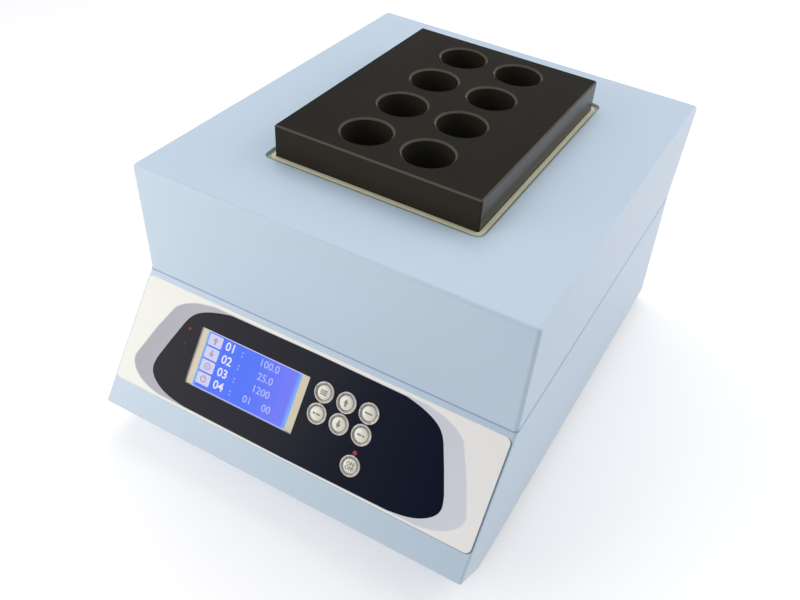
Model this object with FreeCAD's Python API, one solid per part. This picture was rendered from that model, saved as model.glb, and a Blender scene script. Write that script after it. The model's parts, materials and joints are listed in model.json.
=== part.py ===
import FreeCAD, Part
import math
import os
from FreeCAD import Placement, Rotation, Vector

# Eight-place heating and stirring block for a laboratory bench, in millimetres.
# x runs to the right and y to the back, seen from the control panel, and z runs up from the bench.
# While it is built, y is counted from the casing's front wall. The finished pieces are
# moved back together, so that the origin lies under the middle of the whole instrument.

# Casing: two moulded shells that part at the waist
case_width = 240.0
case_depth = 263.5
deck_height = 158.6
waist_height = 87.4
slope_reach = 50.75
slope_foot = 17.8
chamfer_run = 25.15
side_flare_top = 1.15
side_flare_base = 1.7
back_flare_top = 4.5
back_flare_base = 2.5
case_wall = 3.0
cover_edge_radius = 2.5
base_edge_radius = 1.5
parting_gap = 0.6
lip_height = 4.0
lip_wall = 1.5
lip_clearance = 0.15
open_side = -1.0

# Corner posts, and the screws that hold the cover down on them
post_radius = 6.5
post_bore_radius = 4.5
post_wall_bite = 1.0
post_front_y = 13.0
post_ledge = 5.0
cover_screw_radius = 1.95
cover_screw_bite = 8.0
cover_pilot_depth = 11.0
cover_head_radius = 3.8
cover_head_height = 3.0
screw_clearance = 0.05
lip_post_clearance = 0.3

# Feet
foot_height = 8.0
foot_radius = 10.0
foot_tip_radius = 8.5
foot_sink_radius = 4.6
foot_sink_depth = 4.5
foot_inset = 22.0
foot_screw_radius = 2.0
foot_screw_bite = 4.5
foot_head_radius = 3.6
foot_head_height = 2.5
foot_boss_radius = 4.5
foot_boss_height = 9.0

# Vent slots in the casing's floor
floor_slot_count = 9
floor_slot_pitch = 8.0
floor_slot_width = 3.5
floor_slot_length = 36.0
floor_slot_y = 20.0

# Heating block, its wells and how far it stands out of the deck
well_columns = 2
well_rows = 4
well_pitch = 39.0
well_radius = 14.6
well_depth = 58.0
well_chamfer = 1.1
block_width = 128.2
block_depth = 166.4
block_height = 68.0
block_rise = 18.4
block_centre_x = -1.5
block_setback = 4.75
block_corner_radius = 1.2
block_edge = 0.9

# Deck opening and the silicone seal between deck and block
seal_gap_side = 4.7
seal_gap_end = 5.95
opening_radius = 5.0
seal_slip = 0.3
seal_seat_clearance = 0.2
seal_flange_thickness = 1.2
seal_bead_width = 2.4
seal_bead_rise = 0.9
seal_bead_edge = 0.7
seal_skirt = 6.0

# Chamber under the deck: tub, insulation, heater plate
tub_wall = 1.5
tub_clearance = 3.0
tub_flange = 8.0
sheet_thickness = 4.0
plate_thickness = 10.0
plate_margin = 1.0
jacket_thickness = 11.0
jacket_top_gap = 0.3
heater_count = 4
heater_pitch = 30.0
heater_radius = 3.2
heater_length = 140.0
heater_clearance = 0.05
probe_radius = 1.5
probe_length = 60.0
cutout_radius = 8.0
cutout_length = 9.0
cutout_clearance = 0.3

# Stirrer drive: a square grid of meshed gears, one under each well
gear_teeth = 26
pinion_teeth = 18
pressure_angle = math.radians(20.0)
gear_face = 8.0
gear_backlash = 0.16
gear_root_clearance = 0.25
hub_radius = 5.0
hub_height = 2.0
bar_length = 34.0
bar_width = 13.0
bar_height = 12.0
magnet_length = 9.0
magnet_width = 9.0
magnet_height = 8.0
magnet_end_wall = 1.5
magnet_gap = 2.6
axle_radius = 2.5
axle_clearance = 0.05
axle_head_radius = 4.5
axle_head_height = 1.4
axle_head_clearance = 0.1

# Drive plate, its posts and the motor
deck_plate_thickness = 3.0
deck_plate_half_width = 68.0
deck_plate_front = 112.0
deck_plate_back = 80.0
post_row_x = 60.0
post_edge = 8.0
standoff_radius = 4.0
tub_post_y = 76.0
motor_radius = 18.5
motor_floor_gap = 10.9
motor_boss_radius = 6.0
motor_boss_height = 2.5
motor_boss_clearance = 0.2
motor_edge = 1.5
motor_shaft_radius = 3.0
motor_shaft_depth = 20.0
motor_shaft_rise = 2.0
motor_shaft_clearance = 0.05

# Control panel. v is counted down the slope from the waist
overlay_top = 4.3
overlay_bottom = 69.0
overlay_margin = 2.5
overlay_thickness = 0.6
overlay_radius = 3.5
window_left = -73.7
window_right = 1.4
window_top = 18.8
window_bottom = 53.6
window_clearance = 0.1
glass_left = -69.0
glass_right = -3.8
glass_thickness = 1.0
module_margin = 4.5
module_clearance = 0.3
board_depth = 12.5
board_thickness = 1.6
board_left = -100.0
board_right = 64.0
board_top = 9.0
board_bottom = 67.0
board_boss_inset = 4.0
board_boss_radius = 3.5
board_pilot_depth = 6.5
board_screw_radius = 1.2
board_screw_bite = 5.0
board_head_radius = 2.4
board_head_height = 1.2
connector_length = 24.0
connector_width = 6.0
connector_rise = 8.0

# Keys and status lights
key_column_count = 3
key_row_count = 2
key_first_x = 12.4
key_first_v = 23.2
key_pitch_x = 14.4
key_pitch_v = 12.7
start_key_v = 54.3
key_radius = 4.65
key_clearance = 0.2
key_rise = 1.3
key_dome = 0.7
key_dome_inset = 1.4
key_travel = 0.7
key_tab = 1.6
key_tab_width = 3.0
key_tab_thickness = 1.2
key_tab_clearance = 0.1
key_stem = 3.0
key_stem_length = 3.6
key_ring_radius = 6.15
key_ring_rise = 0.9
switch_size = 6.0
switch_gap = 0.05
led_radius = 1.35
led_clearance = 0.1
led_rise = 0.4
led_edge = 0.3
side_led_x = -81.1
heating_led_v = 23.1
cooling_led_v = 32.3
run_led_v = 46.7

# Back panel, in its window in the rear wall
rear_window_height = 60.0
rear_window_radius = 4.0
rear_overlap = 8.0
rear_post_gap = 2.0
rear_edge_gap = 2.2
rear_plate_thickness = 2.0
rear_screw_radius = 1.5
rear_screw_head_radius = 2.8
rear_screw_length = 6.0
rear_screw_inset = 4.2

# Cooling fan
fan_side_margin = 13.0
fan_size = 60.0
fan_depth = 25.0
fan_bore_radius = 28.4
fan_corner_radius = 4.0
fan_hole_spacing = 50.0
fan_hub_radius = 13.0
fan_hub_plate = 3.0
fan_strut_width = 4.0
fan_strut_count = 3
fan_blades = 7
fan_tip_gap = 0.8
fan_blade_thickness = 1.6
fan_blade_pitch = 38.0
fan_end_gap = 2.5
fan_hub_gap = 0.1
fan_shaft_radius = 1.5
fan_shaft_clearance = 0.05
fan_screw_length = 12.0
fan_head_height = 1.5
grille_pitch = 6.0
grille_slot = 3.2

# Mains inlet with switch and fuse drawer
inlet_side_margin = 17.0
inlet_flange_width = 32.0
inlet_flange_height = 56.0
inlet_flange_thickness = 2.5
inlet_flange_radius = 3.0
inlet_body_width = 27.4
inlet_body_height = 50.0
inlet_body_depth = 24.0
inlet_cutout_clearance = 0.2
socket_width = 24.4
socket_height = 16.6
socket_depth = 15.0
socket_corner = 4.0
socket_drop = 0.5
pin_width = 2.0
pin_height = 4.0
pin_spacing = 7.0
pin_recess = 1.5
drawer_width = 24.4
drawer_height = 8.4
drawer_depth = 19.0
drawer_drop = 18.5
drawer_clearance = 0.1
drawer_face_margin = 0.6
drawer_face_thickness = 1.5
drawer_notch_width = 8.5
drawer_notch_depth = 0.6
drawer_wall = 1.5
rocker_lift = 17.5
rocker_width = 19.4
rocker_radius = 6.35
rocker_side_clearance = 0.3
rocker_window_clearance = 0.15
rocker_pivot_depth = 1.5
rocker_pin_radius = 1.2
rocker_pin_length = 1.2
rocker_pin_clearance = 0.05
rocker_wing = 3.4
rocker_waist = 2.0
rocker_keel = 3.2
rocker_tilt = -8.0
rocker_well_depth = 9.0

# Power board on the casing's floor
power_board_width = 110.0
power_board_depth = 80.0
power_board_y = 150.0
power_board_lift = 8.0
transformer_width = 42.0
transformer_depth = 36.0
transformer_rise = 30.0
heat_sink_width = 8.0
heat_sink_depth = 60.0
heat_sink_rise = 26.0
capacitor_radius = 8.0
capacitor_height = 25.0
power_part_margin = 8.0
capacitor_gap = 4.0

# Heights above the bench that follow from the sizes above
floor_z = foot_height
waist_z = floor_z + waist_height
deck_z = floor_z + deck_height
floor_top_z = floor_z + case_wall
cover_foot_z = waist_z + parting_gap
deck_under_z = deck_z - case_wall
block_top_z = deck_z + block_rise
block_foot_z = block_top_z - block_height
plate_foot_z = block_foot_z - plate_thickness
tub_floor_z = plate_foot_z - sheet_thickness
tub_foot_z = tub_floor_z - tub_wall
bar_top_z = tub_foot_z - magnet_gap
bar_foot_z = bar_top_z - bar_height
gear_top_z = bar_foot_z - hub_height
gear_foot_z = gear_top_z - gear_face
deck_plate_top_z = gear_foot_z - hub_height
deck_plate_foot_z = deck_plate_top_z - deck_plate_thickness

# Other sizes that follow
half_width = case_width / 2
block_centre_y = case_depth / 2 + block_setback
motor_length = deck_plate_foot_z - floor_top_z - motor_floor_gap
beyond = case_width + case_depth
opening_width = block_width + 2 * seal_gap_side
opening_depth = block_depth + 2 * seal_gap_end
gear_module = well_pitch / gear_teeth
motor_reach = gear_module * (gear_teeth + pinion_teeth) / 2
slope_angle = math.degrees(math.atan2(waist_height - slope_foot, slope_reach))
slope_length = math.hypot(waist_height - slope_foot, slope_reach)
rear_lean = math.degrees(math.atan2(back_flare_base, waist_height))
post_x = half_width - case_wall - post_radius + post_wall_bite
rear_panel_width = 2 * (post_x - post_radius - rear_post_gap)
rear_panel_top_v = -lip_height - rear_edge_gap
rear_panel_foot_v = case_wall + rear_edge_gap - waist_height
rear_panel_height = rear_panel_top_v - rear_panel_foot_v
rear_centre_v = (rear_panel_top_v + rear_panel_foot_v) / 2
rear_window_width = rear_panel_width - 2 * rear_overlap
fan_x = rear_window_width / 2 - fan_side_margin - fan_size / 2
inlet_x = inlet_side_margin + inlet_flange_width / 2 - rear_window_width / 2
rear_panel_face = -case_wall
socket_centre_v = rear_centre_v - socket_drop
last_key_x = key_first_x + (key_column_count - 1) * key_pitch_x
wall_cut = 2 * case_wall
inlet_face = inlet_flange_thickness - case_wall
pivot_depth = inlet_face - rocker_pivot_depth
board_boss_places = [
    (board_left + board_boss_inset, board_top + board_boss_inset),
    (board_right - board_boss_inset, board_top + board_boss_inset),
    (board_right - board_boss_inset, board_bottom - board_boss_inset),
    (board_left + board_boss_inset, board_bottom - board_boss_inset),
]

# Frames of the two sloping walls. On the panel, local x is x, local y runs up the slope
# and local z points out. On the rear wall, local x is to the right as seen from behind.
panel_frame = Placement(Vector(0, 0, waist_z), Rotation(Vector(1, 0, 0), slope_angle))
rear_frame = Placement(
    Vector(0, case_depth, waist_z),
    Rotation(Vector(0, 0, 1), 180) * Rotation(Vector(1, 0, 0), 90 - rear_lean),
)


def placed(shape, placement):
    """A copy of a shape, carried into another frame."""
    copy = shape.copy()
    copy.Placement = placement.multiply(copy.Placement)
    return copy


def box(width, depth, low, high, x=0.0, y=0.0):
    """Block centred on (x, y) between two heights."""
    return Part.makeBox(width, depth, high - low, Vector(x - width / 2, y - depth / 2, low))


def cylinder(radius, low, high, x=0.0, y=0.0):
    """Upright cylinder between two heights."""
    return Part.makeCylinder(radius, high - low, Vector(x, y, low))


def cone(low_radius, high_radius, low, high, x=0.0, y=0.0):
    """Upright cone frustum between two heights."""
    return Part.makeCone(low_radius, high_radius, high - low, Vector(x, y, low))


def prism(corners, along):
    """Solid over a closed polygon of vectors."""
    return Part.Face(Part.makePolygon(corners + [corners[0]])).extrude(along)


def hexagon(radius, low, high, x, y):
    """Upright hexagonal bar between two heights, its radius measured to its corners."""
    corners = []
    for index in range(6):
        angle = index * math.pi / 3
        corners.append(Vector(x + radius * math.cos(angle), y + radius * math.sin(angle), low))
    return prism(corners, Vector(0, 0, high - low))


def fused(shapes):
    """All the shapes as one, without seams."""
    whole = shapes[0]
    if len(shapes) > 1:
        whole = whole.fuse(shapes[1:])
    return whole.removeSplitter()


def rounded_prism(corners, radius, low, high):
    """Solid over a polygon of (x, y) corners, each rounded to a radius."""
    points = [Vector(x, y, low) for x, y in corners]
    count = len(points)
    arcs = []
    for index in range(count):
        here = points[index]
        back = (points[index - 1] - here).normalize()
        ahead = (points[(index + 1) % count] - here).normalize()
        half = back.getAngle(ahead) / 2
        run = radius / math.tan(half)
        inward = (back + ahead).normalize()
        middle = here + inward * (radius / math.sin(half) - radius)
        arcs.append((here + back * run, middle, here + ahead * run))
    edges = []
    for index in range(count):
        start, middle, end = arcs[index]
        edges.append(Part.Arc(start, middle, end).toShape())
        edges.append(Part.LineSegment(end, arcs[(index + 1) % count][0]).toShape())
    return Part.Face(Part.Wire(edges)).extrude(Vector(0, 0, high - low))


def rounded_box(width, depth, radius, low, high, x=0.0, y=0.0):
    """Block with rounded upright edges, centred on (x, y)."""
    corners = [
        (x - width / 2, y - depth / 2),
        (x + width / 2, y - depth / 2),
        (x + width / 2, y + depth / 2),
        (x - width / 2, y + depth / 2),
    ]
    return rounded_prism(corners, radius, low, high)


def slot(length, width, low, high, x, y, turned=False):
    """Straight slot with round ends, along x, or along y when turned."""
    half = (length - width) / 2
    radius = width / 2
    shapes = [
        box(2 * half, width, low, high),
        cylinder(radius, low, high, -half),
        cylinder(radius, low, high, half),
    ]
    turn = Rotation(Vector(0, 0, 1), 90 if turned else 0)
    return placed(fused(shapes), Placement(Vector(x, y, 0), turn))


def inset(points, distances):
    """A counter-clockwise polygon with side i, from point i to the next, moved inwards."""
    lines = []
    count = len(points)
    for index in range(count):
        x0, y0 = points[index]
        x1, y1 = points[(index + 1) % count]
        length = math.hypot(x1 - x0, y1 - y0)
        across = -(y1 - y0) / length
        up = (x1 - x0) / length
        lines.append((across, up, across * x0 + up * y0 + distances[index]))
    corners = []
    for index in range(count):
        a0, a1, a2 = lines[index - 1]
        b0, b1, b2 = lines[index]
        size = a0 * b1 - a1 * b0
        corners.append(((a2 * b1 - b2 * a1) / size, (a0 * b2 - b0 * a2) / size))
    return corners


def tapered_body(side, front):
    """Solid whose side view is one polygon of (y, z) and whose front view is one of (x, z)."""
    across = prism([Vector(-beyond, y, z) for y, z in side], Vector(2 * beyond, 0, 0))
    along = prism([Vector(x, -beyond, z) for x, z in front], Vector(0, 3 * beyond, 0))
    return across.common(along)


def round_edges(solid, radius, flat_z):
    """Round all the edges of a solid, apart from those in one level plane."""
    edges = []
    nearby = parting_gap / 2
    for edge in solid.Edges:
        heights = [vertex.Z for vertex in edge.Vertexes]
        if max(abs(height - flat_z) for height in heights) > nearby:
            edges.append(edge)
    return solid.makeFillet(radius, edges)


def base_outlines():
    """Side and front views of the base's outer form."""
    wide = half_width + side_flare_base
    side = [
        (-slope_reach, floor_z + slope_foot),
        (chamfer_run - slope_reach, floor_z),
        (case_depth + back_flare_base, floor_z),
        (case_depth, waist_z),
        (0, waist_z),
    ]
    front = [(-wide, floor_z), (wide, floor_z), (half_width, waist_z), (-half_width, waist_z)]
    return side, front


def cover_outlines():
    """Side and front views of the cover's outer form."""
    wide = half_width + side_flare_top
    side = [
        (0, cover_foot_z),
        (case_depth, cover_foot_z),
        (case_depth + back_flare_top, deck_z),
        (0, deck_z),
    ]
    front = [
        (-half_width, cover_foot_z),
        (half_width, cover_foot_z),
        (wide, deck_z),
        (-wide, deck_z),
    ]
    return side, front


def post_places():
    """Centres of the four corner posts, each joined to a side wall."""
    back_y = case_depth - case_wall - post_radius + post_wall_bite
    return [(-post_x, post_front_y), (post_x, post_front_y), (post_x, back_y), (-post_x, back_y)]


def foot_places():
    """Centres of the four feet."""
    x = half_width - foot_inset
    front_y = chamfer_run - slope_reach + foot_inset
    back_y = case_depth - foot_inset
    return [(-x, front_y), (x, front_y), (x, back_y), (-x, back_y)]


def ring_at_waist(outer_inset, inner_inset, low, high):
    """Rectangular ring that follows the waist outline."""
    middle_y = case_depth / 2
    outer = box(case_width - 2 * outer_inset, case_depth - 2 * outer_inset, low, high, 0, middle_y)
    inner = box(case_width - 2 * inner_inset, case_depth - 2 * inner_inset, low, high, 0, middle_y)
    return outer.cut(inner)


def panel_solid(shape):
    """A shape drawn on the control panel's plane, carried to the slope."""
    return placed(shape, panel_frame)


def rear_solid(shape):
    """A shape drawn on the rear wall's plane, carried to the rear wall."""
    return placed(shape, rear_frame)


def key_places():
    """Centres of the keys as (x, v), row by row, with the start key last."""
    places = []
    for row in range(key_row_count):
        for column in range(key_column_count):
            places.append((key_first_x + column * key_pitch_x, key_first_v + row * key_pitch_v))
    places.append((last_key_x, start_key_v))
    return places


def led_places():
    """Centres of the heating, cooling and run lights as (x, v)."""
    return [(side_led_x, heating_led_v), (side_led_x, cooling_led_v), (last_key_x, run_led_v)]


def overlay_corners(extra=0.0):
    """Corners of the overlay on the panel's plane, narrower at the top like the slope itself."""
    def reach(v):
        share = v * math.sin(math.radians(slope_angle)) / waist_height
        return half_width + side_flare_base * share - overlay_margin + extra
    top = overlay_top - extra
    bottom = overlay_bottom + extra
    return [
        (-reach(bottom), -bottom),
        (reach(bottom), -bottom),
        (reach(top), -top),
        (-reach(top), -top),
    ]


def window_box(margin, low, high):
    """Block over the display window, larger or smaller by a margin on each side."""
    width = window_right - window_left + 2 * margin
    height = window_bottom - window_top + 2 * margin
    x = (window_left + window_right) / 2
    v = (window_top + window_bottom) / 2
    return box(width, height, low, high, x, -v)


def panel_holes(low, high):
    """Cutters for the window, the keys and the status lights."""
    cutters = [window_box(0, low, high)]
    for x, v in key_places():
        cutters.append(cylinder(key_radius + key_clearance, low, high, x, -v))
    for x, v in led_places():
        cutters.append(cylinder(led_radius + led_clearance, low, high, x, -v))
    return cutters


def rear_screw_places():
    """Centres of the back panel's screws on the rear wall, beside its window."""
    x = rear_window_width / 2 + rear_screw_inset
    dy = rear_window_height / 2 - rear_screw_inset
    return [(sx * x, rear_centre_v + sy * dy) for sx in (-1, 1) for sy in (-1, 1)]


def base_shell():
    """Lower shell: sloping panel, floor, side walls, rear wall, posts, bosses and locating lip."""
    side, front = base_outlines()
    outer = round_edges(tapered_body(side, front), base_edge_radius, waist_z)
    walls = [case_wall, case_wall, case_wall, open_side, case_wall]
    hollow = tapered_body(inset(side, walls), inset(front, [case_wall, case_wall, open_side, case_wall]))
    shell = outer.cut(hollow)
    added = []
    cutters = []
    board_hole = board_screw_radius + screw_clearance
    lip_outer = case_wall + lip_clearance
    lip_inner = lip_outer + lip_wall
    added.append(ring_at_waist(case_wall / 2, lip_inner, waist_z - lip_height, waist_z))
    lip = ring_at_waist(lip_outer, lip_inner, waist_z, waist_z + lip_height)
    for x, y in post_places():
        added.append(cylinder(post_radius, floor_top_z, waist_z, x, y))
        around = cylinder(post_radius + lip_post_clearance, waist_z, waist_z + lip_height, x, y)
        lip = lip.cut(around)
        cutters.append(cylinder(post_bore_radius, floor_z, waist_z - post_ledge, x, y))
        cutters.append(cylinder(cover_screw_radius + screw_clearance, floor_z, waist_z, x, y))
    added.append(lip)
    for x, y in foot_places():
        added.append(cylinder(foot_boss_radius, floor_top_z, floor_top_z + foot_boss_height, x, y))
        hole = foot_screw_radius + screw_clearance
        cutters.append(cylinder(hole, floor_z, floor_top_z + foot_boss_height, x, y))
    for x, v in board_boss_places:
        boss = cylinder(board_boss_radius, -board_depth, -case_wall, x, -v)
        pilot = cylinder(board_hole, -board_depth, board_pilot_depth - board_depth, x, -v)
        added.append(panel_solid(boss))
        cutters.append(panel_solid(pilot))
    for x, y in power_board_corners():
        boss_top = floor_top_z + power_board_lift
        added.append(cylinder(board_boss_radius, floor_top_z, boss_top, x, y))
        cutters.append(cylinder(board_hole, boss_top - board_pilot_depth, boss_top, x, y))
    recess = rounded_prism(overlay_corners(), overlay_radius, -overlay_thickness, beyond)
    cutters.append(panel_solid(recess))
    for hole in panel_holes(-wall_cut, beyond):
        cutters.append(panel_solid(hole))
    window = rounded_box(
        rear_window_width, rear_window_height, rear_window_radius,
        -wall_cut, wall_cut, 0, rear_centre_v,
    )
    cutters.append(rear_solid(window))
    for x, v in rear_screw_places():
        cutters.append(rear_solid(rear_screw(x, v, screw_clearance)))
    first = -(floor_slot_count - 1) / 2 * floor_slot_pitch
    for index in range(floor_slot_count):
        x = first + index * floor_slot_pitch
        cutters.append(
            slot(floor_slot_length, floor_slot_width, floor_z, floor_top_z, x, floor_slot_y, True)
        )
    shell = fused([shell] + added)
    return shell.cut(Part.makeCompound(cutters))


def top_cover():
    """Upper shell: deck with its opening, four walls and the bosses that take the cover's screws."""
    side, front = cover_outlines()
    outer = round_edges(tapered_body(side, front), cover_edge_radius, cover_foot_z)
    hollow = tapered_body(
        inset(side, [open_side, case_wall, case_wall, case_wall]),
        inset(front, [open_side, case_wall, case_wall, case_wall]),
    )
    shell = outer.cut(hollow)
    bosses = []
    pilots = []
    for x, y in post_places():
        bosses.append(cylinder(post_radius, waist_z, deck_under_z, x, y))
        pilot_radius = cover_screw_radius + screw_clearance
        pilots.append(cylinder(pilot_radius, waist_z, waist_z + cover_pilot_depth, x, y))
    opening = rounded_box(
        opening_width, opening_depth, opening_radius,
        deck_under_z, deck_z, block_centre_x, block_centre_y,
    )
    shell = fused([shell] + bosses)
    return shell.cut(Part.makeCompound(pilots + [opening]))


def case_screws():
    """Four screws up through the posts' ledges into the cover, and one up through each foot."""
    screws = []
    ledge_z = waist_z - post_ledge
    for x, y in post_places():
        head = hexagon(cover_head_radius, ledge_z - cover_head_height, ledge_z, x, y)
        shank = cylinder(cover_screw_radius, ledge_z, waist_z + cover_screw_bite, x, y)
        screws.append(fused([head, shank]))
    for x, y in foot_places():
        head = hexagon(foot_head_radius, foot_sink_depth - foot_head_height, foot_sink_depth, x, y)
        shank = cylinder(foot_screw_radius, foot_sink_depth, floor_top_z + foot_screw_bite, x, y)
        screws.append(fused([head, shank]))
    return Part.makeCompound(screws)


def feet():
    """Four rubber feet, each with a sink for its screw."""
    pads = []
    for x, y in foot_places():
        pad = cone(foot_tip_radius, foot_radius, 0, foot_height, x, y)
        sink = cylinder(foot_sink_radius, 0, foot_sink_depth, x, y)
        hole = cylinder(foot_screw_radius + screw_clearance, 0, foot_height, x, y)
        pads.append(pad.cut(sink).cut(hole))
    return Part.makeCompound(pads)


def heating_block():
    """Machined aluminium block with a grid of wells, broken edges and chamfered rims."""
    block = block_outline(0, block_foot_z, block_top_z)
    top_edges = [edge for edge in block.Edges if edge.BoundBox.ZMin > block_top_z - block_edge / 2]
    block = block.makeChamfer(block_edge, top_edges)
    cutters = []
    for x, y in well_places():
        cutters.append(cylinder(well_radius, block_top_z - well_depth, block_top_z, x, y))
        rim_z = block_top_z - well_chamfer
        cutters.append(cone(well_radius, well_radius + well_chamfer, rim_z, block_top_z, x, y))
    return block.cut(Part.makeCompound(cutters))


def well_places():
    """Centres of the wells, front row first, left to right."""
    places = []
    for row in range(well_rows):
        y = block_centre_y + (row - (well_rows - 1) / 2) * well_pitch
        for column in range(well_columns):
            x = block_centre_x + (column - (well_columns - 1) / 2) * well_pitch
            places.append((x, y))
    return places


def block_outline(extra, low, high):
    """Block-shaped solid, larger or smaller by a margin on each side, with concentric corners."""
    return rounded_box(
        block_width + 2 * extra, block_depth + 2 * extra, block_corner_radius + max(extra, 0),
        low, high, block_centre_x, block_centre_y,
    )


def block_seal():
    """Silicone ring: a flange in the deck opening, a bead on the block and a skirt below it."""
    flange_top = deck_under_z + seal_flange_thickness
    flange = rounded_box(
        opening_width - 2 * seal_seat_clearance, opening_depth - 2 * seal_seat_clearance,
        opening_radius - seal_seat_clearance,
        deck_under_z, flange_top, block_centre_x, block_centre_y,
    )
    bead_reach = seal_slip + seal_bead_width
    bead_top = flange_top + seal_bead_rise
    bead = block_outline(bead_reach, deck_under_z - seal_skirt, bead_top)
    rim = [edge for edge in bead.Edges if edge.BoundBox.ZMin > bead_top - seal_bead_rise / 2]
    bead = bead.makeChamfer(seal_bead_edge, rim)
    bore = block_outline(seal_slip, deck_under_z - seal_skirt, bead_top)
    return fused([flange, bead]).cut(bore)


def chamber_tub():
    """Drawn steel tub that the block stands in, with a flange under the deck."""
    outer_reach = tub_clearance + tub_wall
    outer = block_outline(outer_reach, tub_foot_z, deck_under_z)
    inner = block_outline(tub_clearance, tub_floor_z, deck_under_z)
    flange = block_outline(outer_reach + tub_flange, deck_under_z - tub_wall, deck_under_z)
    return fused([outer, flange]).cut(inner)


def insulation_sheet():
    """Flat insulation between the tub's floor and the heater plate."""
    return block_outline(tub_clearance, tub_floor_z, plate_foot_z)


def insulation_jacket():
    """Insulation around the tub's walls, with a hole for the overheat cut-out."""
    reach = tub_clearance + tub_wall
    top = deck_under_z - tub_wall - jacket_top_gap
    outer = block_outline(reach + jacket_thickness, tub_foot_z, top)
    inner = block_outline(reach, tub_foot_z, top)
    hole = cutout_cylinder(cutout_radius + cutout_clearance, 2 * jacket_thickness)
    return outer.cut(inner).cut(hole)


def cutout_cylinder(radius, length):
    """Level cylinder that stands on the tub's right wall."""
    x = block_centre_x + block_width / 2 + tub_clearance + tub_wall
    centre_z = (tub_foot_z + deck_under_z) / 2
    return Part.makeCylinder(radius, length, Vector(x, block_centre_y, centre_z), Vector(1, 0, 0))


def overheat_cutout():
    """Bimetal cut-out clamped to the tub's wall."""
    return cutout_cylinder(cutout_radius, cutout_length)


def heater_places():
    """Positions across the plate of the cartridge heaters."""
    first = block_centre_x - (heater_count - 1) / 2 * heater_pitch
    return [first + index * heater_pitch for index in range(heater_count)]


def heater_rod(x, radius, length):
    """Level rod, drilled in from the heater plate's front end."""
    start_y = block_centre_y - block_depth / 2 + plate_margin
    middle_z = plate_foot_z + plate_thickness / 2
    return Part.makeCylinder(radius, length, Vector(x, start_y, middle_z), Vector(0, 1, 0))


def heater_plate():
    """Aluminium plate under the block, drilled for the heaters and the temperature probe."""
    plate = block_outline(-plate_margin, plate_foot_z, block_foot_z)
    for x in heater_places():
        plate = plate.cut(heater_rod(x, heater_radius + heater_clearance, heater_length))
    return plate.cut(heater_rod(block_centre_x, probe_radius + heater_clearance, probe_length))


def cartridge_heaters():
    """Cartridge heaters, one in each long bore of the plate."""
    return Part.makeCompound([heater_rod(x, heater_radius, heater_length) for x in heater_places()])


def temperature_probe():
    """Temperature probe in the middle of the heater plate."""
    return heater_rod(block_centre_x, probe_radius, probe_length)


def gear_outline(teeth, turn):
    """Corners of an involute gear: each flank goes root, pitch circle, tip."""
    pitch_radius = gear_module * teeth / 2
    base_radius = pitch_radius * math.cos(pressure_angle)
    root_radius = pitch_radius - gear_module * (1 + gear_root_clearance)
    radii = (root_radius, pitch_radius, pitch_radius + gear_module)
    half_tooth = math.pi / (2 * teeth) - gear_backlash / (4 * pitch_radius)
    at_pitch = math.tan(pressure_angle) - pressure_angle
    corners = []
    for tooth in range(teeth):
        middle = turn + tooth * 2 * math.pi / teeth
        flank = []
        for radius in radii:
            roll = math.acos(base_radius / max(radius, base_radius))
            flank.append((radius, half_tooth + at_pitch - (math.tan(roll) - roll)))
        for radius, angle in flank:
            corners.append((radius * math.cos(middle - angle), radius * math.sin(middle - angle)))
        for radius, angle in reversed(flank):
            corners.append((radius * math.cos(middle + angle), radius * math.sin(middle + angle)))
    return corners


def gear_solid(teeth, turn, low, high, x, y):
    """Spur gear between two heights."""
    corners = [Vector(x + dx, y + dy, low) for dx, dy in gear_outline(teeth, turn)]
    return prism(corners, Vector(0, 0, high - low))


def stir_rotor(index):
    """Gear with a hub and a bar that carries two magnets. Every other gear is half a tooth on."""
    x, y = well_places()[index]
    column = index % well_columns
    row = index // well_columns
    turn = math.pi / gear_teeth * ((column + row) % 2)
    gear = gear_solid(gear_teeth, turn, gear_foot_z, gear_top_z, x, y)
    hub = box(2 * hub_radius, 2 * hub_radius, deck_plate_top_z, bar_foot_z, x, y)
    bar = box(bar_length, bar_width, bar_foot_z, bar_top_z, x, y)
    body = fused([gear, hub, bar])
    bore = cylinder(axle_radius + axle_clearance, deck_plate_top_z, bar_top_z, x, y)
    return body.cut(bore).cut(magnet_pair(index))


def magnet_pair(index):
    """Two block magnets, let into the ends of a rotor's bar from above."""
    x, y = well_places()[index]
    reach = bar_length / 2 - magnet_end_wall - magnet_length / 2
    low = bar_top_z - magnet_height
    pair = [
        box(magnet_length, magnet_width, low, bar_top_z, x + side * reach, y) for side in (-1, 1)
    ]
    return Part.makeCompound(pair)


def rotor_axles():
    """Hexagon-headed axles, pressed into the drive plate, that the rotors turn on."""
    axles = []
    head_z = bar_top_z + axle_head_clearance
    for x, y in well_places():
        shank = cylinder(axle_radius, deck_plate_foot_z, head_z, x, y)
        head = hexagon(axle_head_radius, head_z, head_z + axle_head_height, x, y)
        axles.append(fused([shank, head]))
    return Part.makeCompound(axles)


def motor_place():
    """Centre of the motor, in front of the first rotor."""
    x, y = well_places()[0]
    return x, y - motor_reach


def drive_plate():
    """Plate that carries the axles and the motor, on four posts."""
    front_y = block_centre_y - deck_plate_front
    back_y = block_centre_y + deck_plate_back
    plate = box(
        2 * deck_plate_half_width, back_y - front_y, deck_plate_foot_z, deck_plate_top_z,
        block_centre_x, (front_y + back_y) / 2,
    )
    cutters = [cylinder(axle_radius, deck_plate_foot_z, deck_plate_top_z, x, y) for x, y in well_places()]
    x, y = motor_place()
    hole = motor_boss_radius + motor_boss_clearance
    cutters.append(cylinder(hole, deck_plate_foot_z, deck_plate_top_z, x, y))
    return plate.cut(Part.makeCompound(cutters))


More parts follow.
